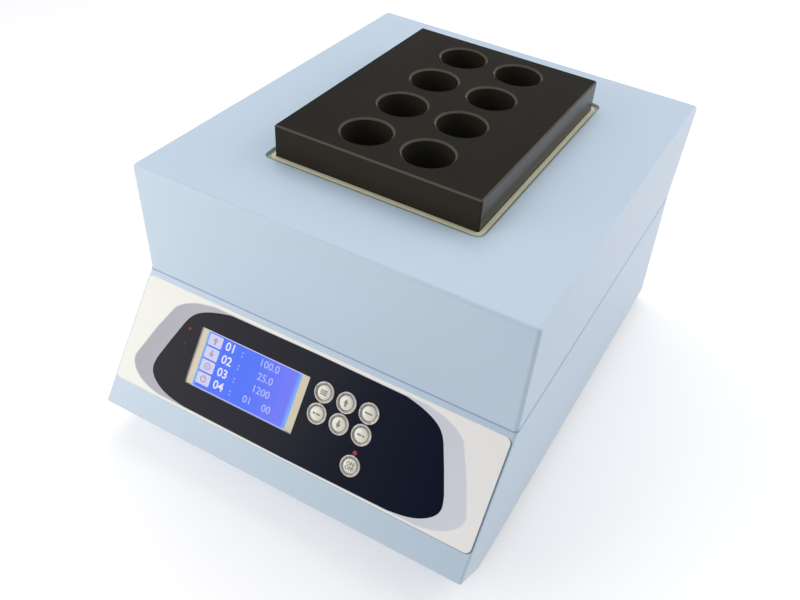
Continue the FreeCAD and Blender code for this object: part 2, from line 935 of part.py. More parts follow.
def module_posts():
    """Hexagonal posts from the floor to the drive plate, and from the drive plate to the tub."""
    posts = []
    back_y = block_centre_y + deck_plate_back - post_edge
    front_y = block_centre_y - deck_plate_front + post_edge
    for side in (-1, 1):
        x = block_centre_x + side * post_row_x
        for y in (front_y, back_y):
            posts.append(hexagon(standoff_radius, floor_top_z, deck_plate_foot_z, x, y))
        for y in (block_centre_y - tub_post_y, block_centre_y + tub_post_y):
            posts.append(hexagon(standoff_radius, deck_plate_top_z, tub_foot_z, x, y))
    return Part.makeCompound(posts)


def motor_body():
    """Gear motor, hung under the drive plate by its face, with a boss in the plate."""
    x, y = motor_place()
    low = deck_plate_foot_z - motor_length
    can = cylinder(motor_radius, low, deck_plate_foot_z, x, y)
    foot = [edge for edge in can.Edges if edge.BoundBox.ZMax < low + motor_edge]
    can = can.makeChamfer(motor_edge, foot)
    boss = cylinder(motor_boss_radius, deck_plate_foot_z, deck_plate_foot_z + motor_boss_height, x, y)
    top_z = deck_plate_foot_z + motor_boss_height
    bore = cylinder(motor_shaft_radius + motor_shaft_clearance, top_z - motor_shaft_depth, top_z, x, y)
    return fused([can, boss]).cut(bore)


def motor_pinion():
    """Motor shaft with its pinion, a tooth of which lies in a gap of the first rotor."""
    x, y = motor_place()
    turn = math.pi / 2
    pinion = gear_solid(pinion_teeth, turn, gear_foot_z, gear_top_z, x, y)
    low = deck_plate_foot_z + motor_boss_height - motor_shaft_depth
    return fused([pinion, cylinder(motor_shaft_radius, low, gear_top_z + motor_shaft_rise, x, y)])


def panel_overlay():
    """Printed overlay, let into the slope, with openings for window, keys and lights."""
    sheet = rounded_prism(
        overlay_corners(-window_clearance), overlay_radius - window_clearance, -overlay_thickness, 0
    )
    return panel_solid(sheet.cut(Part.makeCompound(panel_holes(-overlay_thickness, 0))))


def display_window():
    """Clear pane in the overlay's opening."""
    return panel_solid(window_box(-window_clearance, -overlay_thickness, 0))


def glass_box(low, high):
    """Block over the lit part of the display."""
    height = window_bottom - window_top - 2 * module_clearance
    x = (glass_left + glass_right) / 2
    v = (window_top + window_bottom) / 2
    return box(glass_right - glass_left, height, low, high, x, -v)


def display_module():
    """Display module on the control board. Its frame stands up through the wall to the pane."""
    raised = window_box(-module_clearance, -board_depth, -overlay_thickness)
    body = window_box(module_margin, -board_depth, -case_wall - module_clearance)
    front = -overlay_thickness
    return panel_solid(fused([body, raised]).cut(glass_box(front - glass_thickness, front)))


def lcd_glass():
    """Blue display glass, let into the module's frame."""
    front = -overlay_thickness
    return panel_solid(glass_box(front - glass_thickness, front))


def key_cap(x, v):
    """Key: domed cap, two tabs that hold it behind the wall, and a stem over its switch."""
    tab_top = -case_wall - key_tab_clearance
    tab_foot = tab_top - key_tab_thickness
    cap = cylinder(key_radius, tab_top, key_rise - key_dome, x, -v)
    crown = cone(key_radius, key_radius - key_dome_inset, key_rise - key_dome, key_rise, x, -v)
    reach = 2 * (key_radius + key_tab)
    tabs = box(reach, key_tab_width, tab_foot, tab_top, x, -v)
    stem = box(key_stem, key_stem, tab_foot - key_stem_length, tab_foot, x, -v)
    return panel_solid(fused([cap, crown, tabs, stem]))


def key_rings():
    """Bright ring around each key, on the overlay."""
    rings = []
    for x, v in key_places():
        ring = cylinder(key_ring_radius, 0, key_ring_rise, x, -v)
        hole = cylinder(key_radius + key_clearance, 0, key_ring_rise, x, -v)
        rings.append(ring.cut(hole))
    return panel_solid(Part.makeCompound(rings))


def status_led(index):
    """Small light on the control board, up through the wall and the overlay."""
    x, v = led_places()[index]
    body = cylinder(led_radius, -board_depth, led_rise, x, -v)
    top = [edge for edge in body.Edges if edge.BoundBox.ZMin > led_rise / 2]
    return panel_solid(body.makeChamfer(led_edge, top))


def control_board():
    """Circuit board behind the panel, with a switch under each key and two connectors."""
    width = board_right - board_left
    height = board_bottom - board_top
    x = (board_left + board_right) / 2
    v = (board_top + board_bottom) / 2
    parts = [box(width, height, -board_depth - board_thickness, -board_depth, x, -v)]
    stem_foot = -case_wall - key_tab_clearance - key_tab_thickness - key_stem_length
    switch_top = stem_foot - key_travel - switch_gap
    for key_x, key_v in key_places():
        parts.append(box(switch_size, switch_size, -board_depth, switch_top, key_x, -key_v))
    under = -board_depth - board_thickness
    for connector_x in (board_left + connector_length, board_right - connector_length):
        low = under - connector_rise
        parts.append(box(connector_length, connector_width, low, under, connector_x, -v))
    board = fused(parts)
    hole = board_screw_radius + screw_clearance
    for boss_x, boss_v in board_boss_places:
        board = board.cut(cylinder(hole, under, -board_depth, boss_x, -boss_v))
    return panel_solid(board)


def board_screws():
    """Eight screws that hold the two circuit boards on their bosses."""
    screws = []
    under = -board_depth - board_thickness
    for x, v in board_boss_places:
        head = hexagon(board_head_radius, under - board_head_height, under, x, -v)
        shank = cylinder(board_screw_radius, under, board_screw_bite - board_depth, x, -v)
        screws.append(panel_solid(fused([head, shank])))
    low = floor_top_z + power_board_lift
    top = low + board_thickness
    for x, y in power_board_corners():
        head = hexagon(board_head_radius, top, top + board_head_height, x, y)
        shank = cylinder(board_screw_radius, low - board_screw_bite, top, x, y)
        screws.append(fused([head, shank]))
    return Part.makeCompound(screws)


def power_board_corners():
    """Centres of the power board's four bosses."""
    dx = power_board_width / 2 - board_boss_inset
    dy = power_board_depth / 2 - board_boss_inset
    return [(sx * dx, power_board_y + sy * dy) for sx in (-1, 1) for sy in (-1, 1)]


def power_board():
    """Power board with transformer, heat sink and two capacitors."""
    low = floor_top_z + power_board_lift
    top = low + board_thickness
    left_x = -power_board_width / 2 + power_part_margin + transformer_width / 2
    front_y = power_board_y - power_board_depth / 2 + power_part_margin + transformer_depth / 2
    sink_x = power_board_width / 2 - power_part_margin - heat_sink_width / 2
    parts = [
        box(power_board_width, power_board_depth, low, top, 0, power_board_y),
        box(transformer_width, transformer_depth, top, top + transformer_rise, left_x, front_y),
        box(heat_sink_width, heat_sink_depth, top, top + heat_sink_rise, sink_x, power_board_y),
    ]
    for side in (0, 1):
        x = power_part_margin + side * (2 * capacitor_radius + capacitor_gap)
        parts.append(cylinder(capacitor_radius, top, top + capacitor_height, x, power_board_y))
    board = fused(parts)
    for x, y in power_board_corners():
        board = board.cut(cylinder(board_screw_radius + screw_clearance, low, top, x, y))
    return board


def rear_screw(x, v, extra=0.0):
    """Countersunk screw from the rear wall's face into the back panel."""
    radius = rear_screw_radius + extra
    head_radius = rear_screw_head_radius + extra
    head_depth = head_radius - radius
    shank = cylinder(radius, -rear_screw_length, 0, x, v)
    return fused([shank, cone(radius, head_radius, -head_depth, 0, x, v)])


def fan_screw_places():
    """Centres of the fan's screws on the rear wall's plane."""
    half = fan_hole_spacing / 2
    return [(fan_x + sx * half, rear_centre_v + sy * half) for sx in (-1, 1) for sy in (-1, 1)]


def back_panel():
    """Aluminium back panel with a slotted fan grille and the inlet's cut-out."""
    face = rear_panel_face
    low = face - rear_plate_thickness
    plate = box(rear_panel_width, rear_panel_height, low, face, 0, rear_centre_v)
    cutters = []
    count = int(fan_bore_radius // grille_pitch)
    for index in range(-count, count + 1):
        dy = index * grille_pitch
        length = 2 * math.sqrt(fan_bore_radius ** 2 - dy ** 2)
        if length > 2 * grille_slot:
            cutters.append(slot(length, grille_slot, low, face, fan_x, rear_centre_v + dy))
    width = inlet_body_width + 2 * inlet_cutout_clearance
    height = inlet_body_height + 2 * inlet_cutout_clearance
    cutters.append(box(width, height, low, face, inlet_x, rear_centre_v))
    for x, v in fan_screw_places():
        cutters.append(cylinder(rear_screw_radius + screw_clearance, low, face, x, v))
    for x, v in rear_screw_places():
        cutters.append(cylinder(rear_screw_radius + screw_clearance, low, face, x, v))
    return rear_solid(plate.cut(Part.makeCompound(cutters)))


def panel_screws():
    """Countersunk screws of the back panel and cheese-head screws of the fan."""
    screws = [rear_screw(x, v) for x, v in rear_screw_places()]
    face = rear_panel_face
    for x, v in fan_screw_places():
        head = cylinder(rear_screw_head_radius, face, face + fan_head_height, x, v)
        shank = cylinder(rear_screw_radius, face - fan_screw_length, face, x, v)
        screws.append(fused([head, shank]))
    return rear_solid(Part.makeCompound(screws))


def fan_frame():
    """Square fan frame with a round duct, and a hub plate on three struts."""
    top = rear_panel_face - rear_plate_thickness
    low = top - fan_depth
    frame = rounded_box(fan_size, fan_size, fan_corner_radius, low, top, fan_x, rear_centre_v)
    frame = frame.cut(cylinder(fan_bore_radius, low, top, fan_x, rear_centre_v))
    parts = [frame, cylinder(fan_hub_radius, low, low + fan_hub_plate, fan_x, rear_centre_v)]
    for index in range(fan_strut_count):
        strut = box(fan_bore_radius, fan_strut_width, low, low + fan_hub_plate, fan_bore_radius / 2)
        turn = Rotation(Vector(0, 0, 1), index * 360 / fan_strut_count)
        parts.append(placed(strut, Placement(Vector(fan_x, rear_centre_v, 0), turn)))
    whole = fused(parts)
    bore = fan_shaft_radius + fan_shaft_clearance
    whole = whole.cut(cylinder(bore, low, top, fan_x, rear_centre_v))
    for x, v in fan_screw_places():
        whole = whole.cut(cylinder(rear_screw_radius + screw_clearance, low, top, x, v))
    return rear_solid(whole)


def fan_rotor():
    """Fan rotor: hub, shaft and pitched blades trimmed to the duct."""
    top = rear_panel_face - rear_plate_thickness - fan_end_gap
    frame_low = rear_panel_face - rear_plate_thickness - fan_depth
    low = frame_low + fan_hub_plate + fan_hub_gap
    tip_radius = fan_bore_radius - fan_tip_gap
    hub = cylinder(fan_hub_radius, low, top)
    shaft = cylinder(fan_shaft_radius, frame_low, low)
    sweep = cylinder(tip_radius, low + fan_end_gap, top).cut(hub)
    half = fan_blade_thickness / 2
    blade = box(tip_radius, 2 * fan_depth, -half, half, tip_radius / 2)
    tilt = Placement(Vector(0, 0, (low + top) / 2), Rotation(Vector(1, 0, 0), 90 - fan_blade_pitch))
    blade = placed(blade, tilt).common(sweep)
    parts = [hub, shaft]
    for index in range(fan_blades):
        turn = Rotation(Vector(0, 0, 1), index * 360 / fan_blades)
        parts.append(placed(blade, Placement(Vector(0, 0, 0), turn)))
    return rear_solid(placed(fused(parts), Placement(Vector(fan_x, rear_centre_v, 0), Rotation())))


def inlet_body():
    """Moulded inlet: flange, body, socket, fuse drawer slot and the switch's well."""
    face = inlet_face
    seat = rear_panel_face
    flange = rounded_box(
        inlet_flange_width, inlet_flange_height, inlet_flange_radius, seat, face,
        inlet_x, rear_centre_v,
    )
    body = box(
        inlet_body_width, inlet_body_height, seat - inlet_body_depth, seat, inlet_x, rear_centre_v
    )
    whole = fused([flange, body])
    v = socket_centre_v
    half = socket_width / 2
    top = v + socket_height / 2
    bottom = v - socket_height / 2
    outline = [
        (inlet_x - half, bottom),
        (inlet_x + half, bottom),
        (inlet_x + half, top - socket_corner),
        (inlet_x + half - socket_corner, top),
        (inlet_x - half + socket_corner, top),
        (inlet_x - half, top - socket_corner),
    ]
    depth = Vector(0, 0, socket_depth)
    whole = whole.cut(prism([Vector(x, y, face - socket_depth) for x, y in outline], depth))
    width = drawer_width + 2 * drawer_clearance
    height = drawer_height + 2 * drawer_clearance
    floor = face - drawer_depth - drawer_clearance
    whole = whole.cut(box(width, height, floor, face, inlet_x, rear_centre_v - drawer_drop))
    width = rocker_width + 2 * rocker_side_clearance
    height = 2 * (rocker_radius + rocker_window_clearance)
    v = rear_centre_v + rocker_lift
    whole = whole.cut(box(width, height, face - rocker_well_depth, face, inlet_x, v))
    return rear_solid(whole.cut(rocker_pins(rocker_pin_clearance)))


def rocker_pins(extra):
    """Level pin through the rocker, standing out at both ends."""
    length = rocker_width + 2 * (rocker_side_clearance + rocker_pin_length + extra)
    start = Vector(inlet_x - length / 2, rear_centre_v + rocker_lift, pivot_depth)
    return Part.makeCylinder(rocker_pin_radius + extra, length, start, Vector(1, 0, 0))


def inlet_pins():
    """Three flat contact pins on the socket's floor, the middle one higher."""
    floor = inlet_face - socket_depth
    tip = inlet_face - pin_recess
    v = socket_centre_v
    pins = []
    for step in (-1, 0, 1):
        rise = pin_height / 2 if step == 0 else -pin_height / 2
        pins.append(box(pin_width, pin_height, floor, tip, inlet_x + step * pin_spacing, v + rise))
    return rear_solid(Part.makeCompound(pins))


def fuse_drawer():
    """Fuse drawer: a plug in the slot and a face plate with a finger notch."""
    v = rear_centre_v - drawer_drop
    plug = box(drawer_width, drawer_height, inlet_face - drawer_depth, inlet_face, inlet_x, v)
    width = drawer_width + 2 * drawer_face_margin
    height = drawer_height + 2 * drawer_face_margin
    front = inlet_face + drawer_face_thickness
    plate = box(width, height, inlet_face, front, inlet_x, v)
    notch = box(
        drawer_notch_width, 2 * drawer_notch_depth, inlet_face, front, inlet_x, v + height / 2
    )
    hollow = box(
        drawer_width - 2 * drawer_wall, drawer_height, inlet_face - drawer_depth + drawer_wall,
        inlet_face - drawer_wall, inlet_x, v + drawer_wall,
    )
    return rear_solid(fused([plug, plate]).cut(notch).cut(hollow))


def rocker_switch():
    """Rocker of the mains switch, pressed in at its top, on two short pins."""
    half = rocker_width / 2
    profile = [
        (-rocker_radius, rocker_wing),
        (-rocker_radius, 0),
        (-rocker_radius + rocker_wing / 2, -rocker_keel),
        (rocker_radius - rocker_wing / 2, -rocker_keel),
        (rocker_radius, 0),
        (rocker_radius, rocker_wing),
        (0, rocker_waist),
    ]
    wedge = prism([Vector(-half, y, z) for y, z in profile], Vector(rocker_width, 0, 0))
    barrel = Part.makeCylinder(rocker_radius, rocker_width, Vector(-half, 0, 0), Vector(1, 0, 0))
    cap = wedge.common(barrel)
    tilt = Placement(
        Vector(inlet_x, rear_centre_v + rocker_lift, pivot_depth),
        Rotation(Vector(1, 0, 0), rocker_tilt),
    )
    return rear_solid(fused([placed(cap, tilt), rocker_pins(0)]))


def build_nodes():
    """Every piece of the instrument by name."""
    nodes = {
        "base_shell": base_shell(),
        "top_cover": top_cover(),
        "case_screws": case_screws(),
        "feet": feet(),
        "heating_block": heating_block(),
        "block_seal": block_seal(),
        "chamber_tub": chamber_tub(),
        "insulation_sheet": insulation_sheet(),
        "insulation_jacket": insulation_jacket(),
        "overheat_cutout": overheat_cutout(),
        "heater_plate": heater_plate(),
        "cartridge_heaters": cartridge_heaters(),
        "temperature_probe": temperature_probe(),
        "rotor_axles": rotor_axles(),
        "drive_plate": drive_plate(),
        "module_posts": module_posts(),
        "motor_body": motor_body(),
        "motor_pinion": motor_pinion(),
        "panel_overlay": panel_overlay(),
        "display_window": display_window(),
        "display_module": display_module(),
        "lcd_glass": lcd_glass(),
        "key_rings": key_rings(),
        "heating_led": status_led(0),
        "cooling_led": status_led(1),
        "run_led": status_led(2),
        "control_board": control_board(),
        "board_screws": board_screws(),
        "power_board": power_board(),
        "back_panel": back_panel(),
        "panel_screws": panel_screws(),
        "fan_frame": fan_frame(),
        "fan_rotor": fan_rotor(),
        "inlet_body": inlet_body(),
        "inlet_pins": inlet_pins(),
        "fuse_drawer": fuse_drawer(),
        "rocker_switch": rocker_switch(),
    }
    for index in range(well_columns * well_rows):
        nodes[f"stir_rotor_{index + 1}"] = stir_rotor(index)
        nodes[f"rotor_magnets_{index + 1}"] = magnet_pair(index)
    for index, (x, v) in enumerate(key_places()):
        nodes[f"key_{index + 1}"] = key_cap(x, v)
    return nodes


def middle_y(nodes):
    """Middle of the whole instrument, front to back."""
    low = min(shape.BoundBox.YMin for shape in nodes.values())
    high = max(shape.BoundBox.YMax for shape in nodes.values())
    return (low + high) / 2


def main():
    """Build every piece and write each to its own file."""
    os.makedirs("parts", exist_ok=True)
    nodes = build_nodes()
    centre = Placement(Vector(0, -middle_y(nodes), 0), Rotation())
    for name, shape in nodes.items():
        placed(shape, centre).exportStep(f"parts/{name}.step")


if __name__ == "__main__":
    main()
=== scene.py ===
import json
import math

import bmesh
import bpy
import numpy as np
from bpy.props import FloatProperty, FloatVectorProperty, PointerProperty
from mathutils import Matrix, Vector


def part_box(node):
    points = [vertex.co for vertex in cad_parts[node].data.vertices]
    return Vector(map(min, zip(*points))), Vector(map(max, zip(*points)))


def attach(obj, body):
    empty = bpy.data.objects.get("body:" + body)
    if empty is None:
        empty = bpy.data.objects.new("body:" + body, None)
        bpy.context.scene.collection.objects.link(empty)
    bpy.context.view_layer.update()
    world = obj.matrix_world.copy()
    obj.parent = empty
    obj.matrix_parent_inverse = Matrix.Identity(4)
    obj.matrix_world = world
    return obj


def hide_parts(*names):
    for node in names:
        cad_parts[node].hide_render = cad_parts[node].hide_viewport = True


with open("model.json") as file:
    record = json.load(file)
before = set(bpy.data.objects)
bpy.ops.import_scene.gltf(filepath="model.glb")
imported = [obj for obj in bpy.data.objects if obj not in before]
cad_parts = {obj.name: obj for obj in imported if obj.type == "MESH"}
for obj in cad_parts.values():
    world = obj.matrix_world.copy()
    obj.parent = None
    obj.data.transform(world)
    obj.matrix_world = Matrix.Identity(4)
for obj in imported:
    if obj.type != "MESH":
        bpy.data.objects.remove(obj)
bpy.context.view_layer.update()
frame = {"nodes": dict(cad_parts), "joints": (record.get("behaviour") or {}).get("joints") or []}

bl_info = {
    "name": "Bench heating and stirring block",
    "version": (1, 0, 0),
    "blender": (4, 5, 0),
    "location": "3D View > Sidebar > Instrument",
    "description": "Finishes, printed panel, keys, display and stage of a heating and stirring block",
    "category": "Object",
}

MM = 0.001

# Printed layers on the panel lie this far above each other
PRINT_STEP = 0.03 * MM

# Points on the right half of the dark field and of the grey band around it, in millimetres.
# x is counted from the panel's middle and v down the slope from the waist.
FIELD_POINTS = (
    (20.0, 5.2), (46.0, 5.2), (61.0, 6.5), (76.0, 11.0), (84.0, 17.6), (91.2, 33.7), (96.4, 47.4),
    (96.8, 55.4), (91.0, 61.6), (80.0, 65.8), (60.0, 67.9), (20.0, 68.0),
)
BAND_POINTS = (
    (20.0, 4.8), (60.0, 4.8), (73.0, 5.6), (86.5, 9.0), (96.6, 16.2), (103.4, 30.4), (110.6, 46.0),
    (111.2, 55.2), (105.0, 62.4), (93.0, 67.0), (76.0, 68.6), (20.0, 68.6),
)

# The band's outer edge fades over this many rings, each this many millimetres inside the last
BAND_STEPS = 4
BAND_FADE = 0.22

# Readings on the display, row by row, all plain numbers
DISPLAY_LABELS = ("01", "02", "03", "04")
DISPLAY_READINGS = ("100.0", "25.0", "1200", "01    00")

# Bars on the crowns of four keys, as left, bottom, right and top in tenths of the key's radius
KEY_BARS = {
    1: ((-5.0, 1.8, 5.0, 3.4), (-5.0, -0.8, 5.0, 0.8), (-5.0, -3.4, 5.0, -1.8)),
    3: ((-5.4, -1.1, 5.4, 1.1),),
    4: ((-5.4, -1.1, -1.6, 1.1), (-0.4, -1.1, 5.4, 1.1)),
    6: ((-5.4, -1.1, 0.8, 1.1), (2.0, -1.1, 5.4, 1.1)),
}

# Section of a key's ring, in shares of its width and of its rise
RING_SECTION = (
    (0.0, 0.0), (1.0, 0.0), (1.0, 0.55), (0.92, 0.88), (0.8, 1.0), (0.64, 0.9), (0.5, 0.58), (0.2, 0.46),
    (0.0, 0.4),
)

# Edges sharper than this many degrees stay sharp
SHARP_ANGLE = 35.0


def joint_named(name):
    """The frame's joint of that name."""
    return next(joint for joint in frame["joints"] if joint["name"] == name)


def local_frame(origin, right, out):
    """Origin and three axes: to the right, up along the surface and straight out of it."""
    right = np.array(right, dtype=float)
    out = np.array(out, dtype=float)
    return np.array(origin, dtype=float), right, np.cross(out, right), out


def carry(points, place):
    """Local points to the row frame: origin + x * right + y * up + z * out."""
    origin, right, up, out = place
    return origin + points[..., 0:1] * right + points[..., 1:2] * up + points[..., 2:3] * out


COVER_LOW, COVER_HIGH = (np.array(corner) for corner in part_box("top_cover"))
ROW = local_frame((0.0, 0.0, 0.0), (1.0, 0.0, 0.0), (0.0, 0.0, 1.0))
PANEL = local_frame(
    (0.0, COVER_LOW[1], COVER_LOW[2]), (1.0, 0.0, 0.0), -np.array(joint_named("key_press_1")["axis"])
)
KEY_NODES = sorted(name for name in frame["nodes"] if name.startswith("key_") and name[4:].isdigit())


def panel_extent(node):
    """Lowest and highest corner of a CAD node in the panel's frame."""
    mesh = frame["nodes"][node].data
    flat = np.empty(3 * len(mesh.vertices))
    mesh.vertices.foreach_get("co", flat)
    origin, *axes = PANEL
    local = (flat.reshape(-1, 3) - origin) @ np.stack(axes, axis=1)
    return local.min(axis=0), local.max(axis=0)


# Shapes

def surface(rows, closed=True, looped=False, capped=False):
    """Points and faces over a grid of rows by columns.

    Each face joins row i and i + 1 at columns j and j + 1. closed joins the last column to the
    first, looped the last row to the first, and capped closes the first and last row with a face.
    """
    count, width = rows.shape[:2]
    index = np.arange(count * width).reshape(count, width)
    if closed:
        index = np.concatenate([index, index[:, :1]], axis=1)
    if looped:
        index = np.concatenate([index, index[:1]], axis=0)
    quads = np.stack([index[:-1, :-1], index[:-1, 1:], index[1:, 1:], index[1:, :-1]], axis=-1)
    faces = quads.reshape(-1, 4).tolist()
    if capped:
        faces.append(list(range(width))[::-1])
        faces.append(list(range((count - 1) * width, count * width)))
    return rows.reshape(-1, 3), faces


def revolved(profile, centre, segments, looped=False):
    """A profile of (radius, height) turned about z: x = r cos a, y = r sin a, z = height."""
    profile = np.array(profile)
    turn = np.linspace(0.0, 2.0 * math.pi, segments, endpoint=False)
    rows = np.empty((len(profile), segments, 3))
    rows[..., 0] = centre[0] + profile[:, 0:1] * np.cos(turn)
    rows[..., 1] = centre[1] + profile[:, 0:1] * np.sin(turn)
    rows[..., 2] = profile[:, 1:2]
    return surface(rows, looped=looped)


def plate(outline, low, high):
    """Flat plate: an outline of (x, y) at one height and again at another, closed at both."""
    outline = np.array(outline, dtype=float)
    rows = np.empty((2, len(outline), 3))
    rows[..., :2] = outline
    rows[..., 2] = [[low], [high]]
    return surface(rows, capped=True)


def oblong(left, bottom, right, top):
    """Corners of a rectangle, counter-clockwise."""
    return np.array([(left, bottom), (right, bottom), (right, top), (left, top)])


def panel_oblong(node):
    """Rectangle that a CAD node covers on the panel."""
    low, high = panel_extent(node)
    return oblong(*low[:2], *high[:2])


def arrow(centre, head, stem, shoulder, tip, way):
    """Arrow outline, up for a way of 1 and down for -1.

    head and stem are half the widths, shoulder is where they meet and tip half the length.
    """
    half = np.array([(-head, shoulder), (-stem, shoulder), (-stem, -tip)])
    points = np.concatenate([half, (half * (-1.0, 1.0))[::-1], [(0.0, tip)]])
    return centre + points * (1.0, way)


def rounded_outline(corners, radius, steps=10):
    """Outline with an arc in each corner.

    The arc's centre lies r / sin(half the corner's angle) along its bisector, and the arc turns
    by 180 degrees less the corner's angle.
    """
    back, ahead = (np.roll(corners, shift, axis=0) - corners for shift in (1, -1))
    back /= np.linalg.norm(back, axis=1, keepdims=True)
    ahead /= np.linalg.norm(ahead, axis=1, keepdims=True)
    angle = np.arccos(np.sum(back * ahead, axis=1, keepdims=True))
    bisector = back + ahead
    bisector /= np.linalg.norm(bisector, axis=1, keepdims=True)
    centres = corners + bisector * radius / np.sin(angle / 2)
    starts = corners + back * radius / np.tan(angle / 2) - centres
    across = np.stack([-starts[:, 1], starts[:, 0]], axis=1)
    sweep = (math.pi - angle)[:, :, None] * np.linspace(0.0, 1.0, steps)[None, :, None]
    arcs = centres[:, None] + np.cos(sweep) * starts[:, None] + np.sin(sweep) * across[:, None]
    return arcs.reshape(-1, 2)


def mirrored_outline(half, shrink=0.0, steps=8):
    """Smooth closed outline through the points of its right half, as x and v, and their mirror.

    Between points P1 and P2 the curve is a cubic with the tangents (P2 - P0) and (P3 - P1), each
    scaled by this stretch's share of the two chords. shrink moves the points inwards, in millimetres.
    """
    right = np.array([(x, -v) for x, v in half])
    points = np.concatenate([right[::-1], right * (-1.0, 1.0)])
    sides = np.roll(points, -1, axis=0) - np.roll(points, 1, axis=0)
    sides /= np.linalg.norm(sides, axis=1, keepdims=True)
    points = points + shrink * np.stack([-sides[:, 1], sides[:, 0]], axis=1)
    following = np.roll(points, -1, axis=0)
    chord = np.linalg.norm(following - points, axis=1, keepdims=True) ** 0.5
    tangent = (following - np.roll(points, 1, axis=0)) / (chord + np.roll(chord, 1, axis=0))
    start = (tangent * chord)[:, None]
    end = (np.roll(tangent, -1, axis=0) * chord)[:, None]
    t = np.linspace(0.0, 1.0, steps, endpoint=False)[None, :, None]
    curve = (
        (2 * t ** 3 - 3 * t ** 2 + 1) * points[:, None] + (t ** 3 - 2 * t ** 2 + t) * start
        + (3 * t ** 2 - 2 * t ** 3) * following[:, None] + (t ** 3 - t ** 2) * end
    )
    return curve.reshape(-1, 2) * MM


def reach(outline, centre, directions):
    """Distance from a centre to a convex counter-clockwise outline along each direction.

    A side's distance along its normal is divided by the direction's part along that normal, and
    the nearest side that the direction faces is the one it meets.
    """
    sides = np.roll(outline, -1, axis=0) - outline
    normals = np.stack([sides[:, 1], -sides[:, 0]], axis=1)
    distances = np.sum((outline - centre) * normals, axis=1)
    facing = directions @ normals.T
    edge_on = 1e-12
    faced = facing > edge_on
    return np.where(faced, distances / np.where(faced, facing, 1.0), np.inf).min(axis=1)


def framed_plate(outline, hole, low, high):
    """Flat ring between an outline and a hole, both convex, along rays from the hole's middle."""
    centre = hole.mean(axis=0)
    spread = np.concatenate([outline, hole]) - centre
    turn = np.sort(np.arctan2(spread[:, 1], spread[:, 0]))
    same_ray = 1e-6
    turn = turn[np.concatenate([[True], np.diff(turn) > same_ray])]
    rays = np.stack([np.cos(turn), np.sin(turn)], axis=1)
    inner, outer = (centre + rays * reach(edge, centre, rays)[:, None] for edge in (hole, outline))
    rows = np.empty((4, len(turn), 3))
    rows[..., :2] = [inner, outer, outer, inner]
    rows[:2, :, 2] = low
    rows[2:, :, 2] = high
    return surface(rows, looped=True)


def figures(text, size, centre, low, high, weight):
    """Plain figures as a solid, with their middle at a centre."""
    curve = bpy.data.curves.new("figures", "FONT")
    curve.body = text
    curve.size = size
    curve.align_x = "CENTER"
    curve.align_y = "CENTER"
    curve.offset = weight
    curve.extrude = (high - low) / 2
    curve.resolution_u = 3
    holder = bpy.data.objects.new("figures", curve)
    mesh = bpy.data.meshes.new_from_object(holder)
    flat = np.empty(3 * len(mesh.vertices))
    mesh.vertices.foreach_get("co", flat)
    points = flat.reshape(-1, 3) + np.array((*centre, (low + high) / 2))
    faces = [list(face.vertices) for face in mesh.polygons]
    bpy.data.objects.remove(holder)
    bpy.data.curves.remove(curve)
    bpy.data.meshes.remove(mesh)
    return points, faces


def make_piece(name, shapes, material, body="housing", place=PANEL, smooth=SHARP_ANGLE):
    """One object from local shapes: carried to its place, merged, closed and facing outwards."""
    points = []
    faces = []
    start = 0
    for shape_points, shape_faces in shapes:
        points.append(carry(shape_points, place))
        faces.extend([[start + corner for corner in face] for face in shape_faces])
        start += len(shape_points)
    mesh = bpy.data.meshes.new(name)
    mesh.from_pydata(np.concatenate(points).tolist(), [], faces)
    shell = bmesh.new()
    shell.from_mesh(mesh)
    bmesh.ops.remove_doubles(shell, verts=shell.verts, dist=1e-7)
    bmesh.ops.recalc_face_normals(shell, faces=shell.faces)
    shell.to_mesh(mesh)
    shell.free()
    mesh.shade_smooth()
    mesh.set_sharp_from_angle(angle=math.radians(smooth))
    mesh.materials.append(material)
    piece = bpy.data.objects.new(name, mesh)
    bpy.context.scene.collection.objects.link(piece)
    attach(piece, body)
    return piece


# Node trees

def feed(tree, node, inputs):
    """Set a node's inputs to values, or link them where another node's socket is given."""
    for name, value in inputs.items():
        if isinstance(value, bpy.types.NodeSocket):
            tree.links.new(value, node.inputs[name])
        else:
            node.inputs[name].default_value = value


def add_node(tree, kind, inputs=None, **settings):
    """New node with its settings and its inputs."""
    node = tree.nodes.new(kind)
    for name, value in settings.items():
        setattr(node, name, value)
    feed(tree, node, inputs or {})
    return node


def spread_over(tree, value, start, end, first=0.0, last=1.0):
    """A value that goes from start to end, spread over first to last and held beyond them."""
    inputs = {"Value": value, "From Min": start, "From Max": end, "To Min": first, "To Max": last}
    return add_node(tree, "ShaderNodeMapRange", inputs).outputs["Result"]


def background_ray(tree):
    """1 for rays that show the background: from the camera, off a gloss or through a clear piece."""
    path = add_node(tree, "ShaderNodeLightPath")
    shows = path.outputs["Is Camera Ray"]
    for name in ("Is Glossy Ray", "Is Transmission Ray"):
        either = add_node(tree, "ShaderNodeMath", {0: shows, 1: path.outputs[name]}, operation="MAXIMUM")
        shows = either.outputs["Value"]
    return shows


def new_group(name, inputs, output, kind):
    """Empty shader node group with an input for each value and for Stretch, and one output."""
    group = bpy.data.node_groups.new(name, "ShaderNodeTree")
    for socket_name, value in (*inputs.items(), ("Stretch", (1.0, 1.0, 1.0))):
        socket_kind = {4: "NodeSocketColor", 3: "NodeSocketVector"}.get(np.size(value), "NodeSocketFloat")
        socket = group.interface.new_socket(socket_name, in_out="INPUT", socket_type=socket_kind)
        socket.default_value = value
    group.interface.new_socket(output, in_out="OUTPUT", socket_type=kind)
    return group, add_node(group, "NodeGroupInput").outputs, add_node(group, "NodeGroupOutput")


